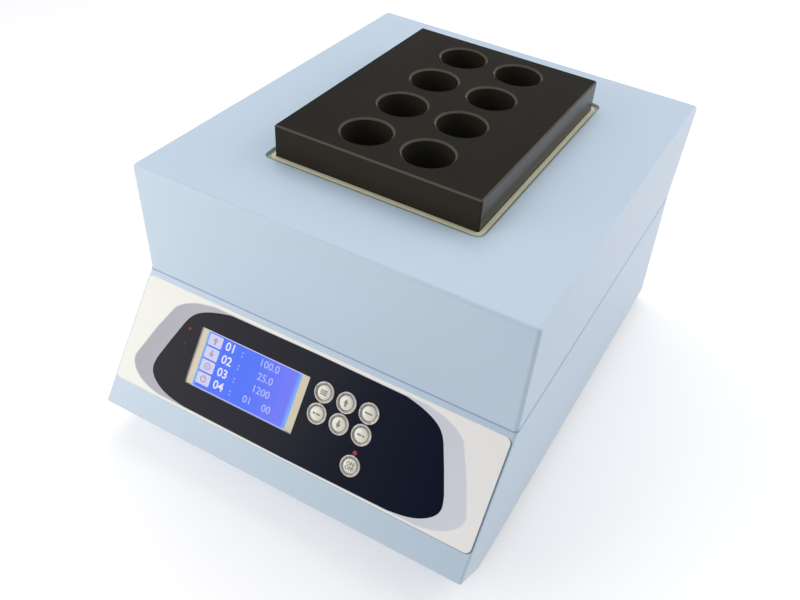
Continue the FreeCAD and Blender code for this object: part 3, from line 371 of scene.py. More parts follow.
def noise_on_object(group, source, detail=4.0):
    """Noise over the object's own coordinates, scaled and stretched by the group's inputs."""
    coordinates = add_node(group, "ShaderNodeTexCoord").outputs["Object"]
    stretched = add_node(
        group, "ShaderNodeVectorMath", {0: coordinates, 1: source["Stretch"]}, operation="MULTIPLY"
    )
    inputs = {"Vector": stretched.outputs["Vector"], "Scale": source["Scale"], "Detail": detail}
    return add_node(group, "ShaderNodeTexNoise", inputs).outputs["Fac"]


def varied(group, source, middle):
    """A middle value, plus the noise less a half, times the group's Spread."""
    centred = add_node(
        group, "ShaderNodeMath", {0: noise_on_object(group, source), 1: 0.5}, operation="SUBTRACT"
    )
    inputs = {0: centred.outputs[0], 1: source["Spread"], 2: middle}
    return add_node(group, "ShaderNodeMath", inputs, operation="MULTIPLY_ADD").outputs[0]


def colour_group():
    """Group that makes a colour a little lighter and darker from place to place."""
    inputs = {"Colour": (0.8, 0.8, 0.8, 1.0), "Spread": 0.05, "Scale": 10.0}
    group, source, result = new_group("uneven_colour", inputs, "Colour", "NodeSocketColor")
    shaded = add_node(
        group, "ShaderNodeVectorMath", {0: source["Colour"], "Scale": varied(group, source, 1.0)},
        operation="SCALE",
    )
    feed(group, result, {"Colour": shaded.outputs["Vector"]})
    return group


def gloss_group():
    """Group that varies roughness from place to place."""
    inputs = {"Roughness": 0.4, "Spread": 0.1, "Scale": 30.0}
    group, source, result = new_group("uneven_gloss", inputs, "Roughness", "NodeSocketFloat")
    feed(group, result, {"Roughness": varied(group, source, source["Roughness"])})
    return group


def relief_group():
    """Group that puts out the height of a fine, even grain."""
    group, source, result = new_group("fine_relief", {"Scale": 400.0}, "Height", "NodeSocketFloat")
    feed(group, result, {"Height": noise_on_object(group, source, 2.0)})
    return group


def smoothing_group():
    """Geometry node group that joins loose facets and leaves only real edges sharp."""
    group = bpy.data.node_groups.new("smooth_facets", "GeometryNodeTree")
    for way in ("INPUT", "OUTPUT"):
        group.interface.new_socket("Geometry", in_out=way, socket_type="NodeSocketGeometry")
    source = add_node(group, "NodeGroupInput").outputs[0]
    merged = add_node(group, "GeometryNodeMergeByDistance", {"Geometry": source, "Distance": 1e-6})
    whole = add_node(
        group, "GeometryNodeSetShadeSmooth", {"Geometry": merged.outputs["Geometry"]}, domain="FACE"
    )
    angle = add_node(group, "GeometryNodeInputMeshEdgeAngle").outputs["Unsigned Angle"]
    sharp = add_node(
        group, "FunctionNodeCompare", {0: angle, 1: math.radians(SHARP_ANGLE)},
        data_type="FLOAT", operation="GREATER_THAN",
    )
    inputs = {
        "Geometry": whole.outputs["Geometry"], "Selection": sharp.outputs["Result"], "Shade Smooth": False,
    }
    edges = add_node(group, "GeometryNodeSetShadeSmooth", inputs, domain="EDGE")
    add_node(group, "NodeGroupOutput", {0: edges.outputs["Geometry"]})
    return group


def shared_group(name, maker):
    """The node group of that name, made the first time it is asked for."""
    return bpy.data.node_groups.get(name) or maker()


# Finishes

def linear(colour):
    """Linear values of a colour written in screen values from 0 to 255."""
    shares = np.array(colour, dtype=float) / 255.0
    values = np.where(shares <= 0.04045, shares / 12.92, ((shares + 0.055) / 1.055) ** 2.4)
    return (*values.tolist(), 1.0)


def shader_of(material):
    """The material's own shader."""
    return material.node_tree.nodes["Principled BSDF"]


def finish(
    name, colour, roughness, metallic=0.0, spread=0.04, mottle=12.0, gloss_spread=0.06, gloss_scale=40.0,
    grain=500.0, relief=0.05, stretch=(1.0, 1.0, 1.0), **constants
):
    """Material with an uneven colour, an uneven gloss and a fine grain.

    The constants are set on the shader's own sockets by name, with _ for a space.
    """
    material = bpy.data.materials.new(name)
    material.use_nodes = True
    tree = material.node_tree
    groups = (
        ("uneven_colour", colour_group, {"Colour": linear(colour), "Spread": spread, "Scale": mottle}),
        ("uneven_gloss", gloss_group, {"Roughness": roughness, "Spread": gloss_spread, "Scale": gloss_scale}),
        ("fine_relief", relief_group, {"Scale": grain}),
    )
    tone, gloss, height = (
        add_node(
            tree, "ShaderNodeGroup", {**inputs, "Stretch": stretch}, node_tree=shared_group(group, maker)
        ).outputs[0]
        for group, maker, inputs in groups
    )
    bump = add_node(tree, "ShaderNodeBump", {"Strength": relief, "Distance": 0.2 * MM, "Height": height})
    feed(tree, shader_of(material), {
        "Base Color": tone, "Metallic": metallic, "Roughness": gloss, "Normal": bump.outputs["Normal"],
        **{socket.replace("_", " "): value for socket, value in constants.items()},
    })
    return material


def object_axis(material, axis, source="Object"):
    """The object's own coordinate, or another of the node's outputs, along an axis of the row frame."""
    tree = material.node_tree
    coordinates = add_node(tree, "ShaderNodeTexCoord").outputs[source]
    inputs = {0: coordinates, 1: tuple(axis)}
    return add_node(tree, "ShaderNodeVectorMath", inputs, operation="DOT_PRODUCT").outputs["Value"]


def ramp(material, value, start, end, first, last, steps=()):
    """Colour that runs from first to last as a value goes from start to end, past steps between."""
    tree = material.node_tree
    colours = add_node(tree, "ShaderNodeValToRGB", {"Fac": spread_over(tree, value, start, end)})
    colours.color_ramp.elements[0].color = linear(first)
    colours.color_ramp.elements[1].color = linear(last)
    for position, colour in steps:
        colours.color_ramp.elements.new(position).color = linear(colour)
    return colours.outputs["Color"]


def recolour(material, *ramp_values):
    """Feed a ramp's colour into a finish, which keeps its own unevenness."""
    tree = material.node_tree
    uneven = next(
        node for node in tree.nodes if node.type == "GROUP" and node.node_tree.name == "uneven_colour"
    )
    feed(tree, uneven, {"Colour": ramp(material, *ramp_values)})


def lit(name, colour, strength):
    """Material of something that glows in one colour."""
    return finish(
        name, (8, 8, 12), 0.4, Specular_IOR_Level=0.15, Emission_Color=linear(colour),
        Emission_Strength=strength,
    )


def dress(material, *nodes):
    """Give CAD nodes a material, and smooth shading apart from their real edges."""
    for name in nodes:
        node = frame["nodes"][name]
        if not node.material_slots:
            node.data.materials.append(None)
        for slot in node.material_slots:
            slot.material = material
        smoothing = node.modifiers.new("smooth_facets", "NODES")
        smoothing.node_group = shared_group("smooth_facets", smoothing_group)
        weighted = node.modifiers.new("flat_faces", "WEIGHTED_NORMAL")
        weighted.keep_sharp = True


# Values a user would change

def properties(kind, rows, **limits):
    """Annotations of a group of values: a property for each name, with its description and default."""
    return {
        name: kind(
            name=name.replace("_", " ").capitalize(), description=description, default=default, **limits
        )
        for name, (description, default) in rows.items()
    }


def colour_properties(rows):
    """Annotations of colours, in screen values from 0 to 255."""
    return properties(FloatVectorProperty, rows, min=0.0, max=255.0, size=3)


class InstrumentFinishes(bpy.types.PropertyGroup):
    """Colours of the instrument."""

    __annotations__ = colour_properties({
        "casing": ("Pale blue of the two shells", (199, 218, 237)),
        # From left to right the film's white turns whiter: painted light that brightens the right of the
        # panel
        "overlay": ("White of the overlay at the left", (239, 244, 240)),
        "overlay_right": ("White of the overlay at the right", (255, 255, 255)),
        "field": ("Dark print at the right", (0, 15, 40)),
        "field_left": ("Dark print at the left", (49, 49, 56)),
        "band": ("Grey print at the right", (228, 233, 245)),
        "band_left": ("Grey print at the left", (164, 168, 181)),
        # The film's edge strip is painted shade: dark at the right, where the casing's rounded edge lies in
        # shade, and pale at the left, where it is lit
        "edge": ("Edge of the overlay at the right", (112, 126, 148)),
        "edge_left": ("Edge of the overlay at the left", (218, 224, 232)),
        # The waist line is painted shade: a darker blue strip for the shadow in the gap between the shells
        "waist": ("Line where the two shells part", (150, 176, 213)),
        "screen": ("Lit blue of the display", (62, 110, 255)),
        "screen_right": ("Violet blue at the display's right", (104, 116, 255)),
        "screen_edge": ("Lighter blue at the display's ends", (118, 184, 255)),
        "labels": ("Row numbers on the display", (232, 232, 255)),
        "figures": ("Readings on the display", (172, 184, 255)),
        "surround": ("Cream strips beside the display", (222, 214, 190)),
        "key": ("White of the keys", (236, 236, 226)),
        # The sides' lighter colour is a painted sheen and the edges' and rims' paler colour a painted
        # highlight, both standing in for light on the block
        "block": ("Black anodising of the block's top", (37, 35, 30)),
        "block_side": ("Black anodising of the block's sides", (53, 50, 44)),
        "block_edge": ("Broken edges and rims of the block", (92, 86, 77)),
        "seal": ("Flange of the seal", (168, 178, 156)),
        "bead": ("Bead of the seal", (226, 224, 198)),
    })


class InstrumentSizes(bpy.types.PropertyGroup):
    """Sizes of the pieces that are made here."""

    __annotations__ = properties(FloatProperty, {
        "key_dome": ("How far a key's dome rises from its edge", 0.9 * MM),
        "cap_inset": ("How much narrower a cap shows than its stem", 0.5 * MM),
        "film_reach": ("How far the film covers the overlay's seam", 1.3 * MM),
        # Width of the painted shade strip round the film
        "edge_width": ("Width of the film's edge", 0.85 * MM),
        "waist_height": ("Height of the line between the shells", 1.9 * MM),
        "ring_rise": ("How far a key's ring stands out", 0.9 * MM),
        "pane": ("Thickness of the clear pane", 0.3 * MM),
        "figure_height": ("Size of the readings on the display", 6.2 * MM),
        "label_height": ("Size of the row numbers on the display", 7.2 * MM),
        "row_pitch": ("From one row of the display to the next", 7.85 * MM),
        "icon": ("Height of the icon boxes on the display", 6.9 * MM),
        "icon_width": ("Width of the icon boxes on the display", 9.4 * MM),
    }, min=0.0, subtype="DISTANCE")


class InstrumentStage(bpy.types.PropertyGroup):
    """Floor, lamps and camera."""

    __annotations__ = {
        **colour_properties({
            "floor": ("Colour of floor and backdrop", (236, 237, 240)),
        }),
        **properties(FloatProperty, {
            "floor_lift": ("Light added to the floor where it is seen", 0.3),
            "world": ("Strength of the light all round", 0.445),
            "sky": ("Light all round where it is seen", 0.64),
            "key_lamp": ("Power of the lamp at the left", 1.93),
            "fill_lamp": ("Power of the lamp at the right", 9.3),
            "top_lamp": ("Power of the lamp above", 5.4),
            "lens": ("Focal length in millimetres", 38.34),
        }, min=0.0),
    }


# Steps

class INSTRUMENT_OT_paint_casing(bpy.types.Operator):
    """Paint the two shells and finish the screws and feet"""

    bl_idname = "instrument.paint_casing"
    bl_label = "Paint the casing"

    def execute(self, context):
        """Satin paint with a very fine grain, zinc screws and rubber feet."""
        colours = context.scene.instrument_finishes
        paint = finish(
            "casing_paint", colours.casing, 0.42, spread=0.03, mottle=6.0, gloss_spread=0.05, grain=900.0,
            relief=0.05, Specular_IOR_Level=0.4, Coat_Weight=0.1, Coat_Roughness=0.3,
        )
        dress(paint, "base_shell", "top_cover", "back_panel")
        self.waist_shade_line(colours.waist, context.scene.instrument_sizes.waist_height)
        screws = finish("zinc_screws", (176, 178, 182), 0.35, metallic=1.0, spread=0.1, mottle=300.0)
        dress(screws, "case_screws", "panel_screws")
        rubber = finish("foot_rubber", (30, 30, 31), 0.75, spread=0.15, mottle=120.0, relief=0.25)
        dress(rubber, "feet")
        return {"FINISHED"}

    @staticmethod
    def waist_shade_line(colour, height):
        """Thin strip round the waist that fills the gap between the two shells, in a blue darker than the
        casing: painted shade for the shadow in the gap.

        The cover's walls lean outwards from its foot, so the strip lies inside the cover's box by
        as much as each wall leans.
        """
        proud = 0.1 * MM
        side_lean = 1.15 * MM
        back_lean = 4.5 * MM
        corner = 1.9 * MM
        side = COVER_HIGH[0] - side_lean + proud
        front = COVER_LOW[1] - proud
        back = COVER_HIGH[1] - back_lean + proud
        outline = rounded_outline(oblong(-side, front, side, back), corner, steps=6)
        inner = oblong(-side + MM, front + MM, side - MM, back - MM)
        top = COVER_LOW[2] + height / 2
        strip = framed_plate(outline, inner, top - height, top)
        # Darker blue than the casing, as painted shade in the gap
        seam = finish("waist_shade_seam", colour, 0.55, spread=0.04, mottle=20.0, relief=0.04)
        make_piece("waist_shade_line", [strip], seam, place=ROW)


class INSTRUMENT_OT_finish_chamber(bpy.types.Operator):
    """Finish the heating block, its seal and the chamber under it"""

    bl_idname = "instrument.finish_chamber"
    bl_label = "Finish the heating chamber"

    def execute(self, context):
        """Black anodised block, a seal paler at its bead than at its flange, drawn steel, felt and milled
        plate.
        """
        colours = context.scene.instrument_finishes
        dress(self.anodised(colours), "heating_block")
        dress(self.silicone(colours), "block_seal")
        drawn = finish(
            "drawn_steel", (168, 168, 166), 0.36, metallic=1.0, spread=0.12, mottle=30.0,
            grain=160.0, relief=0.08, stretch=(1.0, 1.0, 8.0),
        )
        dress(drawn, "chamber_tub", "cartridge_heaters", "temperature_probe")
        felt = finish("felt", (214, 208, 190), 0.95, spread=0.25, mottle=160.0, grain=900.0, relief=0.5)
        dress(felt, "insulation_sheet", "insulation_jacket")
        milled = finish(
            "milled_plate", (196, 198, 202), 0.34, metallic=1.0, spread=0.1, mottle=24.0,
            grain=260.0, relief=0.07, stretch=(1.0, 12.0, 1.0),
        )
        dress(milled, "heater_plate", "drive_plate")
        dress(finish("cutout_case", (34, 34, 36), 0.4, spread=0.1), "overheat_cutout")
        return {"FINISHED"}

    @staticmethod
    def anodised(colours):
        """Black anodising with a painted sheen that makes the sides lighter than the top, a painted highlight
        that makes the 45 degree edges and rims paler, and a soft coat sheen at a flat angle.

        The coat sheen is full on the sides and faint on the top.
        """
        material = finish(
            "block_anodised", colours.block, 0.42, spread=0.35, mottle=26.0, gloss_spread=0.16,
            gloss_scale=22.0, grain=1100.0, relief=0.10, Specular_IOR_Level=0.03,
            Coat_IOR=1.9, Coat_Roughness=0.28, Coat_Tint=(0.93, 0.9, 1.0, 1.0),
        )
        # Painted sheen makes the sides lighter than the top, and a painted highlight makes the 45 degree
        # edges and rims paler
        side, painted_highlight, black = colours.block_side, colours.block_edge, colours.block
        upward = object_axis(material, (0.0, 0.0, 1.0), "Normal")
        steps = ((0.45, side), (0.6, painted_highlight), (0.85, painted_highlight), (0.95, black))
        recolour(material, upward, 0.0, 1.0, side, black, steps)
        tree = material.node_tree
        full, faint = 0.8, 0.13
        sheen = spread_over(tree, upward, 0.8, 0.95, full, faint)
        facing = add_node(tree, "ShaderNodeLayerWeight").outputs["Facing"]
        weight = spread_over(tree, facing, 0.62, 0.7, 0.0, sheen)
        feed(tree, shader_of(material), {"Coat Weight": weight})
        return material

    @staticmethod
    def silicone(colours):
        """Silicone whose bead is paler than its flange, told apart by height."""
        material = finish("seal_silicone", colours.seal, 0.65, spread=0.1, mottle=60.0, relief=0.12)
        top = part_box("block_seal")[1][2]
        lip = 1.6 * MM
        height = object_axis(material, (0.0, 0.0, 1.0))
        steps = ((0.45, colours.seal), (0.62, colours.bead))
        recolour(material, height, top - lip, top, colours.seal, colours.bead, steps)
        return material


class INSTRUMENT_OT_finish_drive(bpy.types.Operator):
    """Finish the stirrer drive and the circuit boards"""

    bl_idname = "instrument.finish_drive"
    bl_label = "Finish the stirrer drive"

    def execute(self, context):
        """Natural plastic gears, plated magnets, ground steel and lacquered boards."""
        rotors, magnets = (
            sorted(name for name in frame["nodes"] if name.startswith(start))
            for start in ("stir_rotor_", "rotor_magnets_")
        )
        dress(finish("gear_plastic", (232, 230, 222), 0.45, spread=0.05, mottle=60.0), *rotors)
        dress(finish("magnet_plating", (198, 198, 202), 0.2, metallic=1.0, spread=0.08), *magnets)
        ground = finish("ground_steel", (178, 178, 180), 0.28, metallic=1.0, spread=0.08, mottle=80.0)
        dress(ground, "rotor_axles", "module_posts", "motor_pinion", "board_screws")
        dress(finish("motor_enamel", (40, 41, 44), 0.4, spread=0.08), "motor_body")
        boards = finish("solder_mask", (22, 84, 48), 0.4, spread=0.3, mottle=180.0, Coat_Weight=0.4)
        dress(boards, "control_board", "power_board")
        return {"FINISHED"}


class INSTRUMENT_OT_print_panel(bpy.types.Operator):
    """Print the dark field and its grey band on the overlay"""

    bl_idname = "instrument.print_panel"
    bl_label = "Print the control panel"

    def execute(self, context):
        """Each print is a thin closed ring around the display window, one layer above the other."""
        colours = context.scene.instrument_finishes
        sizes = context.scene.instrument_sizes
        film = finish(
            "overlay_film", colours.overlay, 0.42, spread=0.02, mottle=8.0, grain=1400.0, relief=0.03,
            Coat_Weight=0.08, Coat_Roughness=0.2,
        )
        dress(film, "panel_overlay")
        # Strip under the film's rim, painted shade for the shaded edge and gap round the film: dark grey-blue
        # at the right, pale at the left
        edge = finish("film_shaded_edge", colours.edge, 0.5, spread=0.03, relief=0.03)
        edge_drop = 0.3 * MM
        edge_depth = 0.55 * MM
        sheet_foot = 0.3 * PRINT_STEP
        rim = self.film_outline(sizes.film_reach + sizes.edge_width, edge_drop)
        self.print_ring("film_shaded_edge", rim, -edge_depth, sheet_foot, edge, colours.edge_left, colours.edge)
        sheet = self.film_outline(sizes.film_reach, 0.0)
        # The film's white is painted lighter at the right as painted light; the band's fading rings mix their
        # print into it
        whites = (colours.overlay, colours.overlay_right)
        self.print_ring("film", sheet, sheet_foot, PRINT_STEP, film, *whites)
        for step in range(BAND_STEPS):
            share = (step + 1) / BAND_STEPS
            inks = [
                [(1 - share) * paper + share * ink for paper, ink in zip(white, band)]
                for white, band in zip(whites, (colours.band_left, colours.band))
            ]
            outline = mirrored_outline(BAND_POINTS, step * BAND_FADE)
            foot, top = ((1 + (step + part) / BAND_STEPS) * PRINT_STEP for part in (0.25, 1))
            ink = finish(f"band_ink_{step + 1}", inks[1], 0.4, spread=0.02, mottle=10.0, relief=0.03)
            self.print_ring(f"band_print_{step + 1}", outline, foot, top, ink, *inks)
        gloss = finish(
            "field_ink", colours.field, 0.2, spread=0.08, mottle=10.0, gloss_spread=0.04, relief=0.02,
            Specular_IOR_Level=0.06,
        )
        inks = (colours.field_left, colours.field)
        field = mirrored_outline(FIELD_POINTS)
        self.print_ring("field_print", field, 2 * PRINT_STEP, 3 * PRINT_STEP, gloss, *inks)
        return {"FINISHED"}

    @staticmethod
    def print_ring(name, outline, low, high, material, left, right):
        """One print around the window, in a colour that changes over the panel's width. On the film and its
        edge strip this change is painted light and shade; on the band and the field it is print.
        """
        start, end = (corner[0] for corner in panel_extent("panel_overlay"))
        recolour(material, object_axis(material, PANEL[1]), start, end, left, right)
        print_shape = framed_plate(outline, panel_oblong("display_window"), low, high)
        make_piece(f"panel_{name}", [print_shape], material)

    @staticmethod
    def film_outline(side, bottom):
        """The overlay's outline, further out by an amount on each edge and narrower at its top."""
        low, high = panel_extent("panel_overlay")
        taper = 1.0 * MM
        rise = 0.9 * MM
        corner = 3.4 * MM
        wide = high[0] + side
        narrow = wide - taper
        foot = low[1] - bottom
        head = high[1] + rise
        corners = np.array([(-wide, foot), (wide, foot), (narrow, head), (-narrow, head)])
        return rounded_outline(corners, corner)


class INSTRUMENT_OT_fit_display(bpy.types.Operator):
    """Light the display, draw its rows and set the clear pane over it"""

    bl_idname = "instrument.fit_display"
    bl_label = "Fit the display"

    def execute(self, context):
        """Blue screen with four rows: an icon box, a row number, a colon and a reading."""
        colours = context.scene.instrument_finishes
        sizes = context.scene.instrument_sizes
        surround = finish("display_surround", colours.surround, 0.5, spread=0.05, mottle=60.0, relief=0.04)
        dress(surround, "display_module")
        low, high = panel_extent("lcd_glass")
        dress(self.screen(colours, low[0], high[0]), "lcd_glass")
        base = high[2] + 0.02 * MM
        top = base + PRINT_STEP
        rule = 0.45 * MM
        first_row = 4.6 * MM
        box_margin = 1.4 * MM
        box_corner = 0.9 * MM
        label_x, colon_x, reading_x = (low[0] + x * MM for x in (16.9, 25.4, 44.0))
        label_weight, colon_weight, reading_weight = (weight * MM for weight in (0.12, 0.08, 0.06))
        boxes = [
            plate(oblong(low[0], low[1], high[0], low[1] + rule), base, top),
            plate(oblong(low[0], high[1] - rule, high[0], high[1]), base, top),
        ]
        labels = []
        readings = []
        signs = []
        x = low[0] + box_margin + sizes.icon_width / 2
        dx = sizes.icon_width / 2
        dy = sizes.icon / 2
        for row, (label, reading) in enumerate(zip(DISPLAY_LABELS, DISPLAY_READINGS)):
            y = high[1] - first_row - sizes.row_pitch * row
            box = rounded_outline(oblong(x - dx, y - dy, x + dx, y + dy), box_corner, steps=4)
            boxes.append(plate(box, base, top))
            signs.extend(self.icon(row, x, y, sizes.icon / 10, top, top + PRINT_STEP))
            labels.append(figures(label, sizes.label_height, (label_x, y), base, top, label_weight))
            for text, place, weight in ((":", colon_x, colon_weight), (reading, reading_x, reading_weight)):
                readings.append(figures(text, sizes.figure_height, (place, y), base, top, weight))
        layers = (
            ("icon_boxes", boxes, "icon_boxes", (214, 214, 250), 0.9),
            ("labels", labels, "row_labels", colours.labels, 0.95),
            ("figures", readings, "display_figures", colours.figures, 0.95),
            ("icons", signs, "icons", (176, 158, 190), 0.9),
        )
        for name, shapes, material, colour, strength in layers:
            make_piece(f"display_{name}", shapes, lit(material, colour, strength))
        face = panel_extent("display_window")[1][2]
        pane = plate(panel_oblong("display_window"), face - sizes.pane, face)
        clear = finish(
            "clear_pane", (250, 252, 255), 0.12, spread=0.0, relief=0.0, gloss_spread=0.02, Alpha=0.02
        )
        piece = make_piece("window_pane", [pane], clear)
        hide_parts("display_window")
        return {"FINISHED"}

    @staticmethod
    def screen(colours, left, right):
        """Lit blue that turns to violet at the right and is paler at both ends."""
        material = lit("display_blue", colours.screen, 0.92)
        blue, violet, pale = colours.screen, colours.screen_right, colours.screen_edge
        steps = ((0.04, blue), (0.55, blue), (0.88, violet), (0.95, violet))
        tone = ramp(material, object_axis(material, PANEL[1]), left, right, pale, pale, steps)
        feed(material.node_tree, shader_of(material), {"Emission Color": tone})
        return material

    @staticmethod
    def icon(row, x, y, tenth, low, high):
        """Sign in an icon box: an arrow up, an arrow down, a ring with a dot, and a ring with a hand.

        Its sizes are in tenths of the box's height.
        """
        if row < 2:
            way = 1 - 2 * row
            outline = arrow((x, y), 2.6 * tenth, 0.9 * tenth, -0.2 * tenth, 3.2 * tenth, way)
            return [plate(outline, low, high)]
        ring = revolved(oblong(2.1 * tenth, low, 3.1 * tenth, high), (x, y), segments=20, looped=True)
        left, bottom, right, top = (-0.7, -0.7, 0.7, 0.7) if row == 2 else (-0.3, -0.3, 0.3, 1.9)
        middle = oblong(x + left * tenth, y + bottom * tenth, x + right * tenth, y + top * tenth)
        return [ring, plate(middle, low, high)]


class INSTRUMENT_OT_fit_keys(bpy.types.Operator):
    """Shape the keys' domes, their rings and the marks on them"""

    bl_idname = "instrument.fit_keys"
    bl_label = "Fit the keys"

    def execute(self, context):
        """A key is a skirt with a dome, r = R sin(t)^0.8 and z = edge + rise cos(t)."""
        colours = context.scene.instrument_finishes
        sizes = context.scene.instrument_sizes
        white = finish(
            "key_white", colours.key, 0.24, spread=0.03, mottle=80.0, relief=0.02,
            Coat_Weight=0.4, Coat_Roughness=0.1,
        )
        ink = finish("key_ink", (134, 130, 122), 0.5, spread=0.1, mottle=200.0)
        skirt_start = 2.0 * MM
        mark_proud = 0.012 * MM
        mark_depth = 0.3 * MM
        bend = np.linspace(math.pi / 2, 0.0, 14)
        for number, node in enumerate(KEY_NODES, 1):
            centre, half, back, front = self.stem(node)
            radius = half - sizes.cap_inset
            edge = front - sizes.key_dome
            dome = np.stack([radius * np.sin(bend) ** 0.8, edge + sizes.key_dome * np.cos(bend)], axis=1)
            skirt = [(0.0, back + skirt_start), (radius, back + skirt_start)]
            cap = revolved(np.concatenate([skirt, dome]), centre, segments=40)
            piece = make_piece(f"key_cap_{number}", [cap], white, node, smooth=50.0)
            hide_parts(node)
            crown = front + mark_proud
            marks = self.marks(number, radius, crown - mark_depth, crown)
            moved = [(points + np.array((*centre, 0.0)), faces) for points, faces in marks]
            make_piece(f"key_mark_{number}", moved, ink, node)
        self.rings(sizes)
        return {"FINISHED"}

    @staticmethod
    def stem(node):
        """Centre and radius of a key, and where it starts and ends along the panel's normal."""
        low, high = panel_extent(node)
        return (low + high)[:2] / 2, (high[1] - low[1]) / 2, low[2], high[2]

    @staticmethod
    def marks(number, radius, low, high):
        """Marks by key, flat on the crown: arrows, plain bars, and ON over OFF on the last."""
        tenth = radius / 10
        if number in (2, 5):
            way = 1 if number == 2 else -1
            outline = arrow((0.0, 0.0), 3.6 * tenth, 1.4 * tenth, -0.6 * tenth, 5.2 * tenth, way)
            return [plate(outline, low, high)]
        if number in KEY_BARS:
            return [plate(oblong(*(tenth * value for value in bar)), low, high) for bar in KEY_BARS[number]]
        size, offset = 0.72 * radius, 0.32 * radius
        return [
            figures(word, size, (0.0, way * offset), low, high, 0.06 * MM)
            for word, way in (("ON", 1), ("OFF", -1))
        ]

    def rings(self, sizes):
        """Rings around the keys: a rounded lip that falls to a groove beside the key, with painted shade that
        darkens the ring towards the groove and a painted highlight that brightens the lip.
        """
        silver = finish(
            "ring_silver", (200, 200, 198), 0.34, metallic=0.3, spread=1.5, mottle=700.0,
            gloss_spread=0.2, gloss_scale=900.0, relief=0.05,
        )
        rise = sizes.ring_rise
        foot = float(PANEL[0] @ PANEL[3])
        # Painted shade darkens the ring towards its foot and a painted highlight lightens the lip
        groove, bright = (112, 110, 106), (214, 213, 208)
        recolour(silver, object_axis(silver, PANEL[3]), foot + 0.3 * rise, foot + rise, groove, bright)
        reach_out = 1.5 * MM
        clearance = 0.15 * MM
        shapes = []
        for node in KEY_NODES:
            centre, half, _, _ = self.stem(node)
            inner = half - sizes.cap_inset + clearance
            width = half + reach_out - inner
            section = np.array(RING_SECTION) * (width, rise) + (inner, 0.0)
            shapes.append(revolved(section, centre, segments=40, looped=True))
        piece = make_piece("key_bezels", shapes, silver, smooth=60.0)
        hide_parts("key_rings")


class INSTRUMENT_OT_fit_lights(bpy.types.Operator):
    """Tint the three status lights"""

    bl_idname = "instrument.fit_lights"
    bl_label = "Fit the status lights"

    def execute(self, context):
        """Red and green lenses, none of them bright."""
        for name, colour, node in (
            ("lens_dim_red", (102, 34, 28), "heating_led"), ("lens_green", (24, 38, 18), "cooling_led"),
        ):
            dim = finish(name, colour, 0.4, spread=0.1, mottle=900.0, Specular_IOR_Level=0.25)
            dress(dim, node)
        red = finish("lens_red", (164, 50, 52), 0.25, spread=0.1, mottle=900.0, Coat_Weight=0.2)
        dress(red, "run_led")
        return {"FINISHED"}


class INSTRUMENT_OT_finish_rear(bpy.types.Operator):
    """Finish the inlet, the switch, the fuse drawer and the fan, and mark the switch"""

    bl_idname = "instrument.finish_rear"
    bl_label = "Finish the rear"

    def execute(self, context):
        """Black mouldings, plated contacts, and a bar and a ring printed on the rocker."""
        moulding = finish("inlet_black", (26, 26, 28), 0.38, spread=0.1, mottle=80.0, relief=0.06)
        dress(moulding, "inlet_body", "fuse_drawer", "rocker_switch")
        fan = finish("fan_black", (30, 30, 32), 0.5, spread=0.1, mottle=60.0, relief=0.08)
        dress(fan, "fan_frame", "fan_rotor")
        plated = finish("contact_plating", (206, 196, 160), 0.25, metallic=1.0, spread=0.08, mottle=200.0)
        dress(plated, "inlet_pins")
        self.rocker_marks()
        return {"FINISHED"}

    @staticmethod
    def rocker_marks():
        """Bar on the upper wing and ring on the lower one, laid on the wings' slopes.

        The two wings meet at a waist in front of the pivot, and each falls away from there.
        """
        rear = joint_named("fan_spin")["axis"]
        pivot, right, up, out = local_frame(joint_named("rocker_tilt")["pos_m"], (-1.0, 0.0, 0.0), rear)
        tilt = math.radians(-8.0)
        slope = math.atan2(1.4, 6.35)
        waist = 2.0 * MM
        from_waist = 3.3 * MM
        proud = 0.06 * MM
        bar = plate(oblong(-0.35 * MM, -1.6 * MM, 0.35 * MM, 1.6 * MM), 0.0, proud)
        ring = revolved(oblong(1.0 * MM, 0.0, 1.6 * MM, proud), (0.0, 0.0), segments=28, looped=True)
        shapes = []
        for side, (points, faces) in ((1, bar), (-1, ring)):
            angle = tilt + side * slope
            along = math.cos(angle) * up + math.sin(angle) * out
            normal = -math.sin(angle) * up + math.cos(angle) * out
            foot = pivot + waist * (-math.sin(tilt) * up + math.cos(tilt) * out)
            place = (foot + side * from_waist * along, right, along, normal)
            shapes.append((carry(points, place), faces))
        white = finish("switch_mark", (226, 226, 222), 0.5, spread=0.04)
        make_piece("switch_marks", shapes, white, "rocker", ROW)


